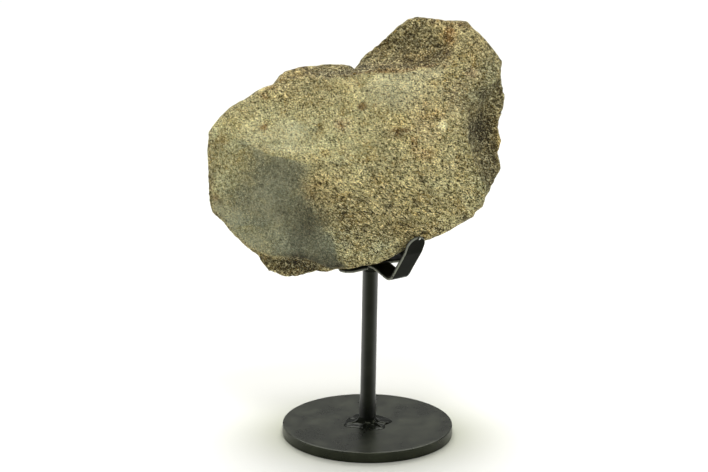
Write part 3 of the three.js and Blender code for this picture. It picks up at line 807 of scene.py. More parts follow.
def bent_line(corners):
    """The line through (distance, height) corners: straight runs, with each inner corner replaced
    by an arc of the bend radius that touches both. Also how far along the line each point is."""
    spots = np.array(corners, float)
    pieces = [spots[:1]]
    for before, here, after in zip(spots[:-2], spots[1:-1], spots[2:]):
        into = (here - before) / np.linalg.norm(here - before)
        out = (after - here) / np.linalg.norm(after - here)
        turn = np.arcsin(into[0] * out[1] - into[1] * out[0])
        start = here - into * STRIP_BEND_RADIUS * np.tan(abs(turn) / 2)
        side = np.sign(turn)
        centre = start + side * STRIP_BEND_RADIUS * np.array([-into[1], into[0]])
        first = np.arctan2(*(start - centre)[::-1])
        angle = first + np.linspace(0, turn, 15)
        pieces.append(centre + STRIP_BEND_RADIUS * np.stack([np.cos(angle), np.sin(angle)], 1))
    line = np.concatenate([*pieces, spots[-1:]])
    way = np.concatenate([[0], np.cumsum(np.linalg.norm(np.diff(line, axis=0), axis=1))])
    return line, way


def welded(points, triangles):
    """Points in one place are made one, and triangles that this leaves with no area go. Gives the
    triangles on the points that are kept, and which points those are."""
    _, first, same = np.unique(np.round(points, 6), axis=0, return_index=True, return_inverse=True)
    triangles = first[same.ravel()][triangles]
    a, b, c = (points[triangles[:, k]] for k in range(3))
    doubled_area = np.linalg.norm(np.cross(b - a, c - a), axis=1)
    kept, triangles = np.unique(triangles[doubled_area > 1e-9], return_inverse=True)
    return triangles.reshape(-1, 3), kept


def strip_surface(corners, round_start):
    """A flat strip's section, a rectangle with quarter-round edges, carried along its bent middle
    line, with closed ends. Toward a round tip each level of the section ends on its own circle, so
    the edge stays as round all the way round the tip. Also gives a mask for the lighter edge
    colour,
    worn paint and painted highlight: full along the lower rounded edges, fading up the narrow sides
    and round onto the underside."""
    line, way = bent_line(corners)
    length, tip, rise = way[-1], STRIP_WIDTH / 2, STRIP_THICKNESS / 2
    ease = 0.02 + (tip - 0.02) * (1 - np.cos(np.linspace(0, pi / 2, 20)))
    first = ease if round_start else np.array([0.0, tip])
    run = np.linspace(tip, length - tip, int((length - 2 * tip) / STRIP_STEP))[1:-1]
    stops = np.concatenate([first, run, length - ease[::-1]])
    at = np.stack([np.interp(stops, way, line[:, k]) for k in (0, 1)], 1)
    tangent = np.stack([np.interp(stops, way, np.gradient(line[:, k], way)) for k in (0, 1)], 1)
    tangent /= np.linalg.norm(tangent, axis=1, keepdims=True)
    to_tip = np.minimum(stops if round_start else tip, length - stops)
    to_tip = np.minimum(to_tip, tip)[:, None]

    # The section, once round: up one edge, over the top, down the other edge and back below.
    arc, flat, inward = np.linspace(0, 1, 5), np.ones(5), np.linspace(0.8, -0.8, 5)
    turn = np.concatenate([arc, flat, arc[::-1]] * 2)
    side = np.concatenate([flat, inward, -flat, -flat, -inward, flat])
    up_sign = np.repeat([1, -1], 15)
    steepest = np.arccos(np.clip(1 - to_tip / STRIP_EDGE, 0, 1))
    angle = turn * steepest
    inset = STRIP_EDGE * (1 - np.cos(angle))
    across = side * np.sqrt(np.maximum((tip - inset) ** 2 - (tip - to_tip) ** 2, 0))
    up = up_sign * (rise - STRIP_EDGE + STRIP_EDGE * np.sin(angle))
    points = np.stack(
        [at[:, :1] - tangent[:, 1:] * up, across, at[:, 1:] + tangent[:, :1] * up], axis=2
    )
    rows, columns = across.shape
    count = rows * columns
    ring = np.arange(columns)
    nxt = (ring + 1) % columns
    quads = grid_quads(rows, columns, wrap_columns=True)
    start_cap = np.stack([np.full(columns, count), nxt, ring], 1)
    end_ring = count - columns
    end_cap = np.stack([np.full(columns, count + 1), end_ring + ring, end_ring + nxt], 1)
    # Painted highlight and worn paint: 1 along the lower rounded edges, fading up the narrow sides
    # and round the lower corners to nothing on the underside.
    near = np.where(turn < 0.5, 1, np.sin(pi * turn))
    near = np.tile(np.where(up_sign < 0, near, 0), (rows, 1))
    ends = np.array([points[0].mean(0), points[-1].mean(0)])
    points = np.concatenate([points.reshape(-1, 3), ends])
    near = np.concatenate([near.ravel(), [0, 0]])
    triangles = np.concatenate([split_quads(points, quads), start_cap, end_cap])
    triangles, kept = welded(points, triangles)
    return points[kept], [triangles], near[kept]


def turned_about_post(points, turn, shift_x):
    """Points turned round the vertical and then moved along X to the post's top."""
    c, s = cos(turn), sin(turn)
    x, y, z = points.T
    return np.stack([x * c - y * s + shift_x, x * s + y * c, z], 1)


def bead_surface(profile, lobes, swell):
    """A weld bead: a profile of (radius, height) turned round the post, whose reach past the post
    is scaled by 1 + swell * (sin(lobes * turn) + 0.6 sin((lobes + 3) * turn + 1))."""
    points, faces = turned_surface(profile, 160)
    turn = np.arctan2(points[:, 1], points[:, 0])
    from_axis = np.hypot(points[:, 0], points[:, 1])
    out = np.maximum(from_axis - POST_RADIUS, 0)
    stretch = 1 + swell * (np.sin(lobes * turn) + 0.6 * np.sin((lobes + 3) * turn + 1))
    scale = (POST_RADIUS + out * stretch) / np.maximum(from_axis, 1e-9)
    points[:, :2] *= np.where(from_axis > POST_RADIUS, scale, 1)[:, None]
    return points, faces


def base_weld_surface():
    """The puddled bead at the post's foot: a steep fillet up the post that runs out into flat
    lobes, with radial ridges and dimples from value noise, all fading out at the toe."""
    # The bead's thinnest edge, and how far it sinks into the disc's top.
    skin = 0.02
    low = DISC_THICKNESS - skin
    foot = np.linspace(0, 1, 34)
    span = BASE_WELD_RADIUS - POST_RADIUS
    fillet = BASE_WELD_HEIGHT * np.exp(-((foot / 0.16) ** 1.3))
    puddle = BASE_WELD_PUDDLE * np.sqrt(np.maximum(1 - foot**3, 0))
    height = low + np.maximum(fillet + puddle * (1 - bell(foot, 0, 0.25)), skin)
    slope = zip((POST_RADIUS + span * foot)[::-1], height[::-1])
    profile = [(0, low), (BASE_WELD_RADIUS - 0.3, low), *slope, (0, height[0])]
    points, faces = bead_surface(profile, *BASE_WELD_LOBES)
    turn = np.arctan2(points[:, 1], points[:, 0])
    out = np.hypot(points[:, 0], points[:, 1]) - POST_RADIUS
    reach = np.clip(out / span, 0, 1)
    round_points = np.stack([6 * np.cos(turn), 6 * np.sin(turn), out * 0.35], 1)
    ridges = 0.3 * np.sin(4 * turn + 0.4 + 0.25 * out) + 0.5 * value_noise(round_points, 3.2, 201)
    for degrees, tall in BASE_WELD_RIDGES:
        off = turn - radians(degrees)
        ridges += tall * bell((out + POST_RADIUS) * np.sin(off), 0, 0.7) * (np.cos(off) > 0)
    dimples = fractal(points, 2.2, 2, 211)
    fade = np.clip(reach * 6, 0, 1) * np.sqrt(1 - reach**4)
    top = points[:, 2] > low + skin / 2
    points[:, 2] += top * fade * (0.34 * ridges + 0.1 * dimples)
    points[:, 2] = np.where(top, np.maximum(points[:, 2], low + skin), points[:, 2])
    return points, faces


def top_weld_surface():
    """The small bead under the strips: its reach grows as a sine's power toward the top, with value
    noise along its normals, cut flat at the top and moved along X to the leaning post's top."""
    top, edge = POST_TOP_Z + GAP, TOP_WELD_EDGE
    swell = np.sin(np.linspace(0, pi / 2, 12)) ** 0.6
    reach = POST_RADIUS + (TOP_WELD_RADIUS - POST_RADIUS) * swell
    height = top - edge - (TOP_WELD_HEIGHT - edge) * (1 - np.linspace(0, 1, 12)) ** 0.8
    rings = [*zip(reach, height)]
    rings += round_corner((TOP_WELD_RADIUS - edge, top - edge), edge, 0, 90)[1:]
    points, faces = bead_surface([(0, height[0]), *rings, (0, top)], *TOP_WELD_LOBES)
    normals = vertex_normals(points, all_triangles(faces))
    points += 0.12 * value_noise(points, 1.6, 231)[:, None] * normals
    points[:, 0] += (top - DISC_THICKNESS) * np.sin(POST_LEAN)
    points[:, 2] = np.minimum(points[:, 2], top)
    return points, faces


# ---- Shader building -----------------------------------------------------------------

class Shading:
    """Adds nodes to one node tree. An input may be a number, a colour or another node's socket."""

    def __init__(self, tree):
        self.tree = tree

    def feed(self, node, inputs):
        """Links or sets inputs of one node, by name or number."""
        for key, value in inputs.items():
            if isinstance(value, bpy.types.NodeSocket):
                self.tree.links.new(value, node.inputs[key])
            elif value is not None:
                node.inputs[key].default_value = value

    def node(self, kind, inputs=(), **settings):
        made = self.tree.nodes.new(kind)
        for name, value in settings.items():
            setattr(made, name, value)
        self.feed(made, dict(inputs))
        return made

    def maths(self, operation, a, b=None, c=None, clamp=False):
        made = self.node("ShaderNodeMath", {0: a, 1: b, 2: c}, operation=operation, use_clamp=clamp)
        return made.outputs[0]

    def total(self, start, *parts):
        """The start plus each part's value times its weight."""
        for value, weight in parts:
            start = self.maths("MULTIPLY_ADD", value, weight, start)
        return start

    def product(self, first, *others):
        for other in others:
            first = self.maths("MULTIPLY", first, other)
        return first

    def largest(self, first, *others):
        for other in others:
            first = self.maths("MAXIMUM", first, other)
        return first

    def less(self, value, mask, loss):
        """The value times (1 - loss * mask)."""
        return self.product(value, self.total(1.0, (mask, -loss)))

    def swung(self, value, noise, swing):
        """The value plus swing times the noise's way from its middle."""
        return self.total(value, (self.maths("SUBTRACT", noise, 0.5), swing))

    def mix(self, factor, a, b):
        inputs = {0: factor, 6: a, 7: b}
        return self.node("ShaderNodeMix", inputs, data_type="RGBA").outputs[2]

    def span(self, value, low, high, to_low=0.0, to_high=1.0):
        """Maps low..high onto to_low..to_high along a smooth step."""
        inputs = {0: value, 1: low, 2: high, 3: to_low, 4: to_high}
        return self.node("ShaderNodeMapRange", inputs, interpolation_type="SMOOTHSTEP").outputs[0]

    def scaled(self, vector, factors):
        """The vector or colour times three factors, or times one that comes from a socket."""
        inputs = {0: vector, 1: factors}
        return self.node("ShaderNodeVectorMath", inputs, operation="MULTIPLY").outputs[0]

    def turned(self, vector, degrees):
        """Turned in the bone's face, round the Y axis."""
        inputs = {"Vector": vector, "Angle": radians(degrees)}
        return self.node("ShaderNodeVectorRotate", inputs, rotation_type="Y_AXIS").outputs[0]

    def noise(self, vector, wavelength, detail, roughness, distortion=0.0):
        inputs = {
            "Vector": vector, "Scale": 1 / wavelength, "Detail": detail,
            "Roughness": roughness, "Distortion": distortion,
        }
        return self.node("ShaderNodeTexNoise", inputs).outputs["Fac"]

    def cells(self, vector, size):
        """Distance to the nearest cell's point, in cell sizes, and a random number and colour for
        that cell."""
        made = self.node("ShaderNodeTexVoronoi", {"Vector": vector, "Scale": 1 / size})
        chance = self.node("ShaderNodeSeparateColor", {0: made.outputs["Color"]}).outputs[0]
        return made.outputs["Distance"], chance, made.outputs["Color"]

    def dashes(self, place, degrees, length, width, share):
        """Short spots of about that length along one direction of the face, in a share of cells."""
        spot = self.scaled(self.turned(place, degrees), (1 / length, 0.5 / width, 1 / width))
        near, chance, _ = self.cells(spot, 1.0)
        return self.product(self.span(near, 0.4, 0.2), self.span(chance, 1 - share, 1.06 - share))

    def bump(self, strength, height_mm, height):
        inputs = {"Strength": strength, "Distance": height_mm * MM, "Height": height}
        return self.node("ShaderNodeBump", inputs).outputs[0]

    def mask(self, name):
        return self.node("ShaderNodeAttribute", attribute_name=name).outputs["Fac"]

    def millimetres(self):
        place = self.node("ShaderNodeTexCoord").outputs["Object"]
        return self.scaled(place, (1 / MM, 1 / MM, 1 / MM))

    def group(self, name, values):
        """One use of a shared node group with its own values. The group is made at its first use:
        a place and numbers go in, and what its function gives comes out."""
        tree = bpy.data.node_groups.get(name)
        if not tree:
            fill, numbers = SHARED_GROUPS[name]
            tree = bpy.data.node_groups.new(name, "ShaderNodeTree")
            add = tree.interface.new_socket
            add("Place", in_out="INPUT", socket_type="NodeSocketVector")
            for label, default in numbers.items():
                socket = add(label, in_out="INPUT", socket_type="NodeSocketFloat")
                socket.default_value = default
            inside = Shading(tree)
            results = fill(inside, inside.node("NodeGroupInput").outputs)
            for label in results:
                add(label, in_out="OUTPUT", socket_type="NodeSocketFloat")
            inside.feed(inside.node("NodeGroupOutput"), results)
        return self.node("ShaderNodeGroup", values, node_tree=tree).outputs


def mineral_grain(make, given):
    """Mineral grain: each crumb of two sizes has its own level, swayed by a soft noise. Gives the
    lightest crumbs, the darkest, the few brightest and a height for bump, each from 0 to 1."""
    place = make.scaled(given["Place"], make.maths("DIVIDE", 1.0, given["Size"]))
    near, chance, _ = make.cells(place, 1.0)
    _, fine_chance, _ = make.cells(place, 0.6)
    level = make.total(0.0, (fine_chance, 0.5), (chance, 0.5))
    level = make.swung(level, make.noise(place, 3.0, 3.0, 0.6), 0.6)
    return {
        "Light": make.span(level, 0.56, 0.84),
        "Dark": make.span(level, 0.44, 0.16),
        "Spark": make.span(level, 0.66, 0.72),
        "Height": make.total(level, (near, -0.3)),
    }


def sprayed_paint(make, given):
    """Sprayed paint over steel: a soft orange peel, settled dust specks and faint rub marks. Gives
    a mask of dust, a roughness and a height, the last from 0 to 1."""
    place = given["Place"]
    peel_place = make.scaled(place, make.maths("DIVIDE", 1.0, given["Peel Size"]))
    near, chance, _ = make.cells(place, 1.7)
    speck = make.product(make.span(near, 0.22, 0.08), make.span(chance, 0.93, 0.96))
    haze = make.product(make.span(make.noise(place, 9.0, 3.0, 0.5), 0.35, 0.75), 0.25)
    dust = make.maths("MULTIPLY", make.largest(speck, haze), given["Dust"], clamp=True)
    rough = make.total(given["Roughness"], (haze, 0.12))
    rough = make.maths("MULTIPLY_ADD", dust, 0.25, rough, clamp=True)
    return {"Dust": dust, "Roughness": rough, "Height": make.noise(peel_place, 1.0, 1.5, 0.45)}


# Each shared group: the function that fills it, and its numbers with their defaults.
SHARED_GROUPS = {
    "Mineral Grain": (mineral_grain, {"Size": 0.8}),
    "Sprayed Paint": (sprayed_paint, {"Roughness": 0.35, "Dust": 0.5, "Peel Size": 0.9}),
}


def new_material(name):
    """An empty material, the builder for its nodes and its Principled shader."""
    material = bpy.data.materials.new(name)
    material.use_nodes = True
    material.node_tree.nodes.clear()
    shading = Shading(material.node_tree)
    skin = shading.node("ShaderNodeBsdfPrincipled")
    shading.node("ShaderNodeOutputMaterial", {"Surface": skin.outputs[0]})
    return material, shading, skin


# ---- Settings a user would change ----------------------------------------------------

def linear(red, green, blue):
    """Scene-linear colour, with alpha, from display values of 0 to 255."""
    values = [v / 255 for v in (red, green, blue)]
    return (*[v / 12.92 if v <= 0.04045 else ((v + 0.055) / 1.055) ** 2.4 for v in values], 1.0)


def colour(name, description, *display):
    """A colour setting, its default given in display values."""
    return FloatVectorProperty(
        name=name, description=description, default=linear(*display), size=4, subtype="COLOR",
        min=0, max=1,
    )


def fraction(name, description, default):
    """A setting from 0 to 1."""
    return FloatProperty(
        name=name, description=description, default=default, min=0, max=1, subtype="FACTOR"
    )


def amount(name, description, default, low=0, **more):
    """A number that is not below low."""
    return FloatProperty(name=name, description=description, default=default, min=low, **more)


def tilt(name, description, degrees):
    """An angle setting, its default given in degrees."""
    return FloatProperty(
        name=name, description=description, default=radians(degrees), subtype="ANGLE"
    )


METRES = {"subtype": "DISTANCE", "unit": "LENGTH"}


class FossilBoneSettings(bpy.types.PropertyGroup):
    """Fineness and colours of the bone."""

    cells: IntProperty(
        name="Cells", description="Cells along each side of the front and back grids", default=218,
        min=12, max=220,
    )
    grain_size: amount("Grain Size", "Size of the fine mineral grains, in millimetres", 0.56, 0.2)
    crumb_size: amount("Crumb Size", "Size of the coarser crumbs, in millimetres", 0.85, 0.2)
    tan_light: colour("Light Tan", "Worn outer bone where it is lightest", 206, 200, 146)
    tan_shade: colour("Deep Tan", "Worn outer bone between the light areas", 156, 149, 101)
    ochre: colour("Ochre", "Yellow earth stains that drift across the bone", 180, 146, 70)
    warm: colour("Warm Stain", "Pinkish brown stains", 186, 160, 122)
    pale: colour("Pale Matrix", "Greenish crust left on the bone", 224, 220, 174)
    grey: colour("Grey Bone", "Smooth grey bone of the lower left", 146, 146, 118)
    grey_shade: colour("Deep Grey", "Darker streaks in the grey bone", 102, 104, 82)
    brown: colour("Broken Brown", "Spongy bone on the broken sides", 172, 159, 106)
    brown_shade: colour("Deep Brown", "The same where it is darkest", 108, 96, 58)
    rust: colour("Iron Stain", "Rusty stains and specks", 132, 96, 52)
    crumb_light: colour("Light Crumbs", "The lightest mineral crumbs", 242, 231, 176)
    crumb_dark: colour("Dark Crumbs", "The darkest mineral crumbs", 48, 40, 18)
    # Painted shade: the colour mixed into pits, slits, holes, pores and grooves.
    pit_shade: colour("Pit Floor", "Dirt at the bottom of pits and slits", 44, 38, 22)


class FossilStandSettings(bpy.types.PropertyGroup):
    """Colours and finish of the painted steel stand."""

    paint: colour("Paint", "Black paint over the steel", 17, 19, 15)
    dust: colour("Dust", "Dust and rub marks on the paint", 132, 138, 108)
    # Lighter edge colour: worn paint, and on the strips also a painted highlight along their lower
    # edges.
    edge: colour("Worn Edge", "Paint rubbed thin along the edges", 134, 136, 124)
    # Painted highlight: the near-white colour of the glint by the front hook's tip.
    steel: colour("Bare Steel", "Chips in the paint down to bright steel", 236, 238, 230)
    disc_roughness: fraction("Disc Roughness", "Roughness of the disc's paint", 0.27)
    strip_roughness: fraction("Strip Roughness", "Roughness of the strips' and post's paint", 0.34)
    weld_roughness: fraction("Weld Roughness", "Roughness of the paint pooled on the welds", 0.17)


class FossilStageSettings(bpy.types.PropertyGroup):
    """The floor, the lights and the camera."""

    floor_colour: colour("Floor", "Colour of the plain floor", 251, 251, 248)
    floor_size: amount("Floor Size", "Side of the square floor", 20, 1, **METRES)
    floor_shade: fraction("Floor Shade", "How much the floor darkens towards the base", 1)
    surround_light: amount("Surround Light", "Light from every side", 0.22)
    top_light: amount("Top Light", "Light added from overhead", 5.2)
    left_light: amount("Left Light", "Light added from the left", 0.3)
    side_light: amount("Side Light", "Light added from two low soft boxes at the sides", 1.1)
    right_share: fraction("Right Share", "Brightness of the right soft box against the left", 0.18)
    front_share: fraction("Front Share", "Share of the surround's light that the front has", 0.4)
    key_power: amount("Key Power", "Power of the soft key light, in watts", 6.5)
    view_distance: amount("View Distance", "From the camera to the bone", 0.9, 0.3, **METRES)
    view_pitch: tilt("View Pitch", "How far the camera looks down", 15.26)
    view_roll: tilt("View Roll", "How far the camera is rolled", 0.46)
    lens: amount("Lens", "Focal length on a 36 mm sensor", 104.4, 10, unit="CAMERA")


# ---- Finishes ------------------------------------------------------------------------

BONE_MASKS = (
    "grey", "broken", "fibre", "crumbly", "dark", "pale", "rust", "warm", "cool", "pit_shade"
)
# The bone's noises: wavelength in millimetres, detail, roughness and distortion.
BONE_NOISES = {
    "broad": (22, 4, 0.6),
    "patches": (6.5, 5, 0.62, 0.4),
    "flecks": (2.1, 4, 0.7),
    "drift": (12, 2, 0.6, 0.3),
    "blotch": (3.2, 3, 0.6, 0.6),
    "specks": (1.0, 2, 0.6),
}
GRAIN_TURN = -30
# Dashes of painted shade along the fibre: degrees, length and width in millimetres, and share of
# places.
SLIT_DASHES = [(-14, 5.2, 0.9, 0.6), (-40, 4.2, 0.85, 0.5)]
# The finest grains' size, and the height of the bone's bump, in millimetres.
SAND_SIZE = 0.45
BONE_BUMP = 0.35
# How strongly each colour covers what is under it.
OCHRE_STRENGTH = 0.4
STAIN_STRENGTH = 0.75
RUST_STRENGTH = 0.8
SLIT_STRENGTH = 0.9
PIT_SHADE_STRENGTH = 0.85
# Cool places lose this share of red and gain this share of blue.
COOL_RED_LOSS = 0.09
COOL_BLUE_GAIN = 0.12

# Each paint: size and height of its orange peel in millimetres, gloss, dust, whether its edges are
# rubbed lighter, which on the strips is also a painted highlight, and whether it has a coat that
# shows toward grazing sides.
PAINTS = {
    "Disc Paint": (1.2, 0.01, 0.31, 0.5, True, False),
    "Post Paint": (0.9, 0.05, 0.12, 0.25, False, True),
    "Weld Paint": (1.6, 0.05, 0.08, 0.1, False, False),
    "Strip Paint": (0.9, 0.05, 0.02, 0.15, True, False),
}
# The colour of the paint's straight-on reflections.
PAINT_TINT = (0.93, 1.0, 0.7, 1)


def bone_material(look):
    """Tan worn bone with pale, grey, broken and stained zones from the piece's masks, crumbly grain
    everywhere, painted shade in dashes along the fibre and in pits, and painted shade and light
    from the dark mask. Colours go on in layers."""
    material, make, skin = new_material("Fossil Bone")
    place = make.millimetres()
    grey, broken, fibre, crumbly, dark, pale, rust, warm, cool, pit_shade = map(make.mask, BONE_MASKS)
    broad, patches, flecks, drift, blotch, specks = (
        make.noise(place, *row) for row in BONE_NOISES.values()
    )

    def edged(mask, noise, low, high):
        """A mask whose border is broken up: the mask plus the noise's swing, past a threshold."""
        return make.span(make.total(mask, (noise, 0.7)), low, high)

    # Tan, with ochre, pinkish and pale stains.
    tone = make.span(make.total(0.0, (broad, 0.5), (patches, 0.5)), 0.4, 0.6)
    colours = make.mix(tone, look.tan_shade, look.tan_light)
    ochre = make.span(make.noise(make.scaled(place, (1, 1, 1.5)), 9, 4, 0.65, 0.5), 0.5, 0.68)
    stained = make.total(0.0, (ochre, OCHRE_STRENGTH), (crumbly, OCHRE_STRENGTH / 2))
    colours = make.mix(stained, colours, look.ochre)
    for mask, limits, tint in ((warm, (0.45, 1.2), look.warm), (pale, (0.5, 1.25), look.pale)):
        stained = make.product(edged(mask, patches, *limits), STAIN_STRENGTH)
        colours = make.mix(stained, colours, tint)

    # Smooth grey, with its own streaks.
    streak_place = make.scaled(make.turned(place, GREY_STREAK_TURN), (0.11, 0.4, 0.62))
    streak = make.noise(streak_place, 1.0, 3, 0.6)
    tone = make.total(-0.03, (broad, 0.55), (streak, 0.45), (pale, 0.3))
    smooth = make.mix(make.span(tone, 0.38, 0.66), look.grey_shade, look.grey)
    smooth = make.mix(make.product(ochre, 0.3), smooth, look.tan_shade)
    ragged = make.swung(grey, patches, 1.2)
    colours = make.mix(make.span(ragged, 0.1, 0.95, 0.0, 0.95), colours, smooth)

    # Broken brown, then rust.
    tone = make.span(make.total(0.0, (patches, 0.5), (flecks, 0.5)), 0.38, 0.62)
    brown = make.mix(tone, look.brown_shade, look.brown)
    colours = make.mix(edged(broken, patches, 0.5, 1.2), colours, brown)
    stain = make.product(edged(rust, flecks, 0.5, 1.15), RUST_STRENGTH)
    colours = make.mix(stain, colours, look.rust)
    # Darker bone and painted shade from the dark mask, and where it is below 0, lighter bone and
    # painted light.
    value = make.product(make.total(1.0, (dark, -0.75)), make.span(dark, 0.6, 1.1, 1.0, 0.5))
    colours = make.scaled(colours, value)

    # Grain: ochre sand, light crumbs and sparks, then dark crumbs.
    grain_place = make.scaled(make.turned(place, GRAIN_TURN), (0.85, 1, 1.15))
    fine, coarse = (
        make.group("Mineral Grain", {"Place": grain_place, "Size": size})
        for size in (look.grain_size, look.crumb_size)
    )
    both = make.product(crumbly, 0.15)
    light, dark_crumbs, spark, height = (
        make.node("ShaderNodeMix", {0: both, 2: fine[name], 3: coarse[name]}).outputs[0]
        for name in ("Light", "Dark", "Spark", "Height")
    )
    contrast = make.total(0.9, (grey, -0.45), (crumbly, 0.8), (pale, -0.3))
    lights = make.total(contrast, (make.largest(grey, pale), -0.25), (stain, -0.7))
    lights = make.maths("MULTIPLY", lights, make.total(1.0, (dark, -0.95)), clamp=True)
    sparks = make.total(dark, (make.span(dark, 0.6, 1.1), -0.45), (crumbly, 0.5))
    sparks = make.less(sparks, grey, 0.8)
    _, chance, sand = make.cells(grain_place, SAND_SIZE)
    rusty = make.less(make.span(chance, 0.7, 0.9, 0.0, 0.45), grey, 0.8)
    colours = make.mix(rusty, colours, look.ochre)
    lit = make.largest(make.product(light, lights), make.product(spark, sparks))
    colours = make.mix(lit, colours, look.crumb_light)
    colours = make.mix(make.product(dark_crumbs, contrast), colours, look.crumb_dark)

    # Tone over the grain, from the finest noise to the broadest, then darker bone and painted shade
    # from the dark mask, and then the cool tint.
    value = make.swung(1.0, sand, make.total(0.6, (contrast, 0.4)))
    value = make.swung(value, blotch, make.total(0.3, (crumbly, 0.75)))
    value = make.swung(value, drift, make.total(0.2, (crumbly, 0.6)))
    value = make.product(make.less(value, dark, 0.26), make.span(dark, 0.8, 1.1, 1.0, 0.85))
    colours = make.scaled(colours, value)
    red, blue = (make.total(1.0, (cool, gain)) for gain in (-COOL_RED_LOSS, COOL_BLUE_GAIN))
    tint = make.node("ShaderNodeCombineXYZ", {0: red, 1: 1.0, 2: blue}).outputs[0]
    colours = make.scaled(colours, tint)

    # Painted shade in slits, pores and pits, in the pit floor colour.
    slits = make.largest(*(make.dashes(place, *row) for row in SLIT_DASHES))
    slits = make.product(slits, fibre, SLIT_STRENGTH)
    pores = make.product(make.span(specks, 0.62, 0.68), make.total(0.35, (broken, 0.45)))
    deep = make.largest(slits, pores, make.product(pit_shade, PIT_SHADE_STRENGTH))
    colours = make.mix(deep, colours, look.pit_shade)

    rise = make.total(height, (flecks, 0.5), (deep, -0.6))
    make.feed(skin, {
        "Base Color": colours, "Roughness": make.total(0.98, (flecks, -0.3)),
        "Normal": make.bump(0.9, BONE_BUMP, rise), "Specular IOR Level": 0.3,
    })
    return material


def paint_material(name, look, roughness, painted_glints=()):
    """Black paint from the sprayed paint group. Where PAINTS says so it has lighter edges from the
    piece's own mask, worn paint that on the strips is also a painted highlight, and a coat. Painted
    glints, near-white spots that stand in for highlights, go at given places in millimetres."""
    peel, rise, gloss, dust, rubbed, coated = PAINTS[name]
    material, make, skin = new_material(name)
    place = make.millimetres()
    coat = make.group(
        "Sprayed Paint", {"Place": place, "Roughness": roughness, "Dust": dust, "Peel Size": peel}
    )
    colours = make.mix(make.product(coat["Dust"], 0.5), look.paint, look.dust)
    rough = coat["Roughness"]
    if rubbed:
        # Lighter edges from the edge mask: worn paint, and on the strips also a painted highlight.
        thin = make.span(make.noise(place, 1.6, 3, 0.6), 0.25, 0.5)
        worn = make.product(make.mask("edge"), thin)
        colours = make.mix(worn, colours, look.edge)
        rough = make.total(rough, (worn, -0.05))
    # Painted glints: near-white spots that stand in for highlights.
    for painted_glint in painted_glints:
        off = make.node("ShaderNodeVectorMath", {0: place, 1: tuple(painted_glint)}, operation="DISTANCE")
        colours = make.mix(make.span(off.outputs["Value"], 0.55, 0.3), colours, look.steel)
    make.feed(skin, {
        "Base Color": colours, "Roughness": rough, "Specular IOR Level": gloss,
        "Specular Tint": PAINT_TINT, "Normal": make.bump(0.35, rise, coat["Height"]),
    })
    if coated:
        facing = make.node("ShaderNodeLayerWeight", {"Blend": 0.5}).outputs["Facing"]
        grazing = make.span(facing, 0.0, 0.4)
        make.feed(skin, {"Coat Weight": grazing, "Coat Roughness": 0.5, "Coat IOR": 1.6})
    return material


# ---- Operators -----------------------------------------------------------------------

class FOSSIL_OT_bone(bpy.types.Operator):
    """Build the fine bone over its faceted solid"""

    bl_idname = "fossil.bone"
    bl_label = "Bone"

    def execute(self, context):
        look = context.scene.fossil_bone
        points, triangles, masks = bone_surface(look.cells)
        piece = new_piece("bone_surface", points, [triangles], bone_material(look))
        set_masks(piece, masks)
        stand_for(piece, "frill_section")
        return {"FINISHED"}


class FOSSIL_OT_disc(bpy.types.Operator):
    """Build the round base with its softly rounded edges"""

    bl_idname = "fossil.disc"
    bl_label = "Base Disc"

    def execute(self, context):
        look = context.scene.fossil_stand
        radius, top = DISC_DIAMETER / 2, DISC_THICKNESS
        inner = radius - DISC_EDGE
        rings = [(r, 0) for r in np.linspace(3, inner - 1, 6)]
        rings += round_corner((inner, DISC_EDGE), DISC_EDGE, -90, 0)
        rings += [(radius, z) for z in np.linspace(DISC_EDGE, top - DISC_EDGE, 10)[1:-1]]
        rings += round_corner((inner, top - DISC_EDGE), DISC_EDGE, 0, 90)
        rings += [(r, top) for r in np.linspace(inner - 1, 3, 8)]
        points, faces = turned_surface([(0, 0), *rings, (0, top)], 180)
        material = paint_material("Disc Paint", look, look.disc_roughness)
        piece = new_piece("disc_turned", points, faces, material)
        from_axis = np.hypot(points[:, 0], points[:, 1])
        from_rim = np.hypot(from_axis - radius, points[:, 2] - top)
        set_masks(piece, {"edge": 0.1 * smoothstep(0.7, 0.2, from_rim)})
        stand_for(piece, "base_disc")
        return {"FINISHED"}


class FOSSIL_OT_post(bpy.types.Operator):
    """Build the leaning round post"""

    bl_idname = "fossil.post"
    bl_label = "Post"

    def execute(self, context):
        look = context.scene.fossil_stand
        low, high, edge = DISC_THICKNESS, POST_TOP_Z + GAP, POST_EDGE
        heights = np.linspace(low, high - edge, 60)
        foot = smoothstep(low + 15, low + 9, heights) * smoothstep(low, low + 4, heights)
        rings = [*zip(POST_RADIUS + POST_FOOT_SWELL * foot, heights)]
        rings += round_corner((POST_RADIUS - edge, high - edge), edge, 0, 90)[1:]
        points, faces = turned_surface([(0, low), *rings, (0, high)], 72)
        points[:, 0] += (points[:, 2] - low) * np.sin(POST_LEAN)
        material = paint_material("Post Paint", look, look.strip_roughness)
        stand_for(new_piece("post_rod", points, faces, material), "post")
        return {"FINISHED"}


class FOSSIL_OT_welds(bpy.types.Operator):
    """Build the weld puddle at the post's foot and the bead at its top"""

    bl_idname = "fossil.welds"
    bl_label = "Welds"

    def execute(self, context):
        look = context.scene.fossil_stand
        material = paint_material("Weld Paint", look, look.weld_roughness)
        points, faces = base_weld_surface()
        stand_for(new_piece("weld_puddle", points, faces, material), "base_weld")
        points, faces = top_weld_surface()
        stand_for(new_piece("weld_collar", points, faces, material), "top_weld")
        return {"FINISHED"}


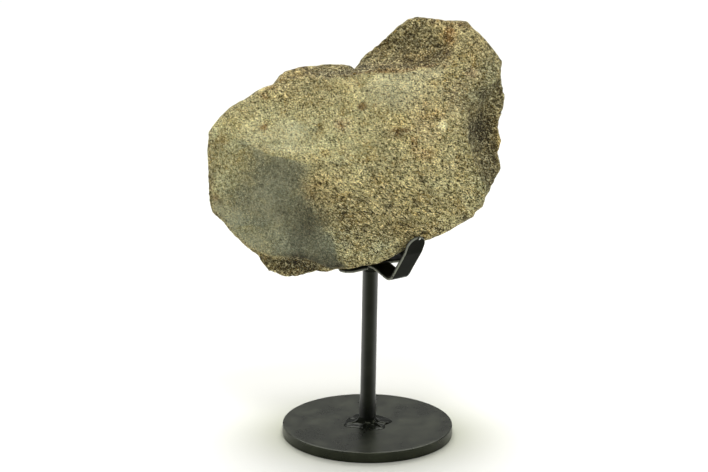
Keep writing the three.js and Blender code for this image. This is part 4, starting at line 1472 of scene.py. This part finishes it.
class FOSSIL_OT_strips(bpy.types.Operator):
    """Build the cradle's bent strips"""

    bl_idname = "fossil.strips"
    bl_label = "Cradle Strips"

    def execute(self, context):
        look = context.scene.fossil_stand
        post_top_x = (POST_TOP_Z - DISC_THICKNESS - GAP) * np.sin(POST_LEAN)
        # The one painted glint, a near-white spot standing in for a highlight, is just past the
        # front hook's tip, a little to one side.
        painted_glint = np.array([[HOOK_TIP[0] + 0.35, 0.6, HOOK_TIP[1] - 0.9]])
        painted_glint = turned_about_post(painted_glint, CRADLE_TURN, post_top_x)
        material = paint_material("Strip Paint", look, look.strip_roughness, painted_glints=painted_glint)
        for name, node, corners, turn, round_start in STRIPS:
            points, faces, near = strip_surface(corners, round_start)
            points[:, 2] += sum(
                tall * value_noise(points, wavelength, seed)
                for tall, wavelength, seed in STRIP_WAVES
            )
            points = turned_about_post(points, CRADLE_TURN + radians(turn), post_top_x)
            piece = new_piece(name, points, faces, material)
            set_masks(piece, {"edge": near})
            stand_for(piece, node)
        return {"FINISHED"}


FLOOR_DROP = 0.03
# The floor's shade is exp(-(x / half length)^2 - (y / half width)^2), in millimetres.
FLOOR_SHADE_REACH = (50, 40)
FLOOR_SHADE_COLOUR = (0.16, 0.18, 0.04, 1)
FLOOR_CLOUD_COLOUR = (0.85, 0.85, 0.8, 1)
SURROUND_COLOUR = (1, 1, 0.985, 1)
OVERHEAD_LEAN = radians(30)
KEY_PLACE = (0.1, -0.6, 1.25)
KEY_AIM = (0, 0, 0.12)
KEY_SIZE = 0.4
VIEW_AIM = (-0.0067, 0, BONE_HEIGHT * MM)


class FOSSIL_OT_stage(bpy.types.Operator):
    """Lay the pale floor, hang the soft lights and set the camera"""

    bl_idname = "fossil.stage"
    bl_label = "Stage"

    def execute(self, context):
        look = context.scene.fossil_stage
        self.floor(look)
        self.surround(context, look)
        self.key(context, look)
        self.camera(context, look)
        context.scene.view_settings.view_transform = "Standard"
        return {"FINISHED"}

    def floor(self, look):
        square = np.array([(-1, -1, 0), (1, -1, 0), (1, 1, 0), (-1, 1, 0)])
        corners = square * look.floor_size / 2 / MM - (0, 0, FLOOR_DROP)
        material, make, skin = new_material("Floor")
        place = make.millimetres()
        clouds = make.product(make.noise(place, 300, 2, 0.5), 0.02)
        tone = make.mix(clouds, look.floor_colour, FLOOR_CLOUD_COLOUR)
        # Painted shade round the base: the floor's colour goes toward the shade colour by exp(-(x /
        # half length)^2 - (y / half width)^2).
        across, deep = FLOOR_SHADE_REACH
        parts = {0: make.scaled(place, (1 / across, 1 / deep, 0))}
        x, y, _ = make.node("ShaderNodeSeparateXYZ", parts).outputs
        off = make.total(0.0, (x, x), (y, y))
        shade = make.product(make.maths("EXPONENT", make.product(off, -1.0)), look.floor_shade)
        tone = make.mix(shade, tone, FLOOR_SHADE_COLOUR)
        make.feed(skin, {"Base Color": tone, "Roughness": 0.9, "Specular IOR Level": 0.1})
        floor = new_piece("floor", corners, [np.array([[0, 1, 2, 3]])], material, smooth=False)

    def surround(self, context, look):
        """An even light, more of it from overhead and from the left, less from the front, and two
        low soft boxes at the sides."""
        world = bpy.data.worlds.new("Surround")
        world.use_nodes = True
        make = Shading(world.node_tree)
        way = make.node("ShaderNodeTexCoord").outputs["Generated"]
        x, y, z = make.node("ShaderNodeSeparateXYZ", {0: way}).outputs
        overhead = make.total(0.0, (z, cos(OVERHEAD_LEAN)), (y, sin(OVERHEAD_LEAN)))
        overhead = make.span(overhead, 0.84, 0.97)
        left = make.span(x, -0.25, -0.9)
        level = make.total(look.surround_light, (overhead, look.top_light), (left, look.left_light))
        level = make.product(level, make.span(y, -0.85, 0.1, look.front_share, 1))
        low = make.span(make.maths("ABSOLUTE", z), 0.3, 0.1, 0, look.side_light)
        sides = make.total(make.span(x, -0.6, -0.9), (make.span(x, 0.6, 0.9), look.right_share))
        level = make.total(level, (low, sides))
        background = world.node_tree.nodes["Background"]
        make.feed(background, {"Color": SURROUND_COLOUR, "Strength": level})
        context.scene.world = world

    def key(self, context, look):
        data = bpy.data.lights.new("key", "AREA")
        data.shape, data.size, data.energy = "SQUARE", KEY_SIZE, look.key_power
        lamp = bpy.data.objects.new("key", data)
        lamp.location = KEY_PLACE
        aim = Vector(KEY_AIM) - Vector(KEY_PLACE)
        lamp.rotation_euler = aim.to_track_quat("-Z", "Y").to_euler()
        context.scene.collection.objects.link(lamp)

    def camera(self, context, look):
        """Level right, turned by the roll, with the view down by the pitch toward the aim point."""
        data = bpy.data.cameras.new("camera")
        data.lens, data.sensor_width, data.sensor_fit = look.lens, 36, "HORIZONTAL"
        data.clip_start, data.clip_end = 0.05, 50
        pitch, roll = look.view_pitch, look.view_roll
        ahead = Vector((0, cos(pitch), -sin(pitch)))
        level = Vector((1, 0, 0))
        over = level.cross(ahead)
        right = level * cos(roll) + over * sin(roll)
        up = over * cos(roll) - level * sin(roll)
        view = Matrix((right, up, -ahead)).transposed().to_4x4()
        view.translation = Vector(VIEW_AIM) - ahead * look.view_distance
        holder = bpy.data.objects.new("camera", data)
        holder.matrix_world = view
        context.scene.collection.objects.link(holder)
        context.scene.camera = holder


class FOSSIL_PT_build(bpy.types.Panel):
    """Lists each step of the build with its settings"""

    bl_label = "Fossil Frill Section"
    bl_idname = "FOSSIL_PT_build"
    bl_space_type = "VIEW_3D"
    bl_region_type = "UI"
    bl_category = "Fossil"

    def draw(self, context):
        scene = context.scene
        for operators, settings in (
            (OPERATORS[:1], scene.fossil_bone),
            (OPERATORS[1:-1], scene.fossil_stand),
            (OPERATORS[-1:], scene.fossil_stage),
        ):
            box = self.layout.box()
            for operator in operators:
                box.operator(operator.bl_idname)
            for name in type(settings).__annotations__:
                box.prop(settings, name)


SETTINGS = {
    "fossil_bone": FossilBoneSettings,
    "fossil_stand": FossilStandSettings,
    "fossil_stage": FossilStageSettings,
}
OPERATORS = (
    FOSSIL_OT_bone, FOSSIL_OT_disc, FOSSIL_OT_post, FOSSIL_OT_welds, FOSSIL_OT_strips,
    FOSSIL_OT_stage,
)


def register():
    for kind in (*SETTINGS.values(), *OPERATORS, FOSSIL_PT_build):
        bpy.utils.register_class(kind)
    for name, kind in SETTINGS.items():
        setattr(bpy.types.Scene, name, PointerProperty(type=kind))


def unregister():
    for name in SETTINGS:
        delattr(bpy.types.Scene, name)
    for kind in reversed((*SETTINGS.values(), *OPERATORS, FOSSIL_PT_build)):
        bpy.utils.unregister_class(kind)


def main():
    """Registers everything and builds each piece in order."""
    register()
    bpy.ops.fossil.stage()
    bpy.ops.fossil.bone()
    bpy.ops.fossil.disc()
    bpy.ops.fossil.post()
    bpy.ops.fossil.welds()
    bpy.ops.fossil.strips()


if __name__ == "__main__":
    main()
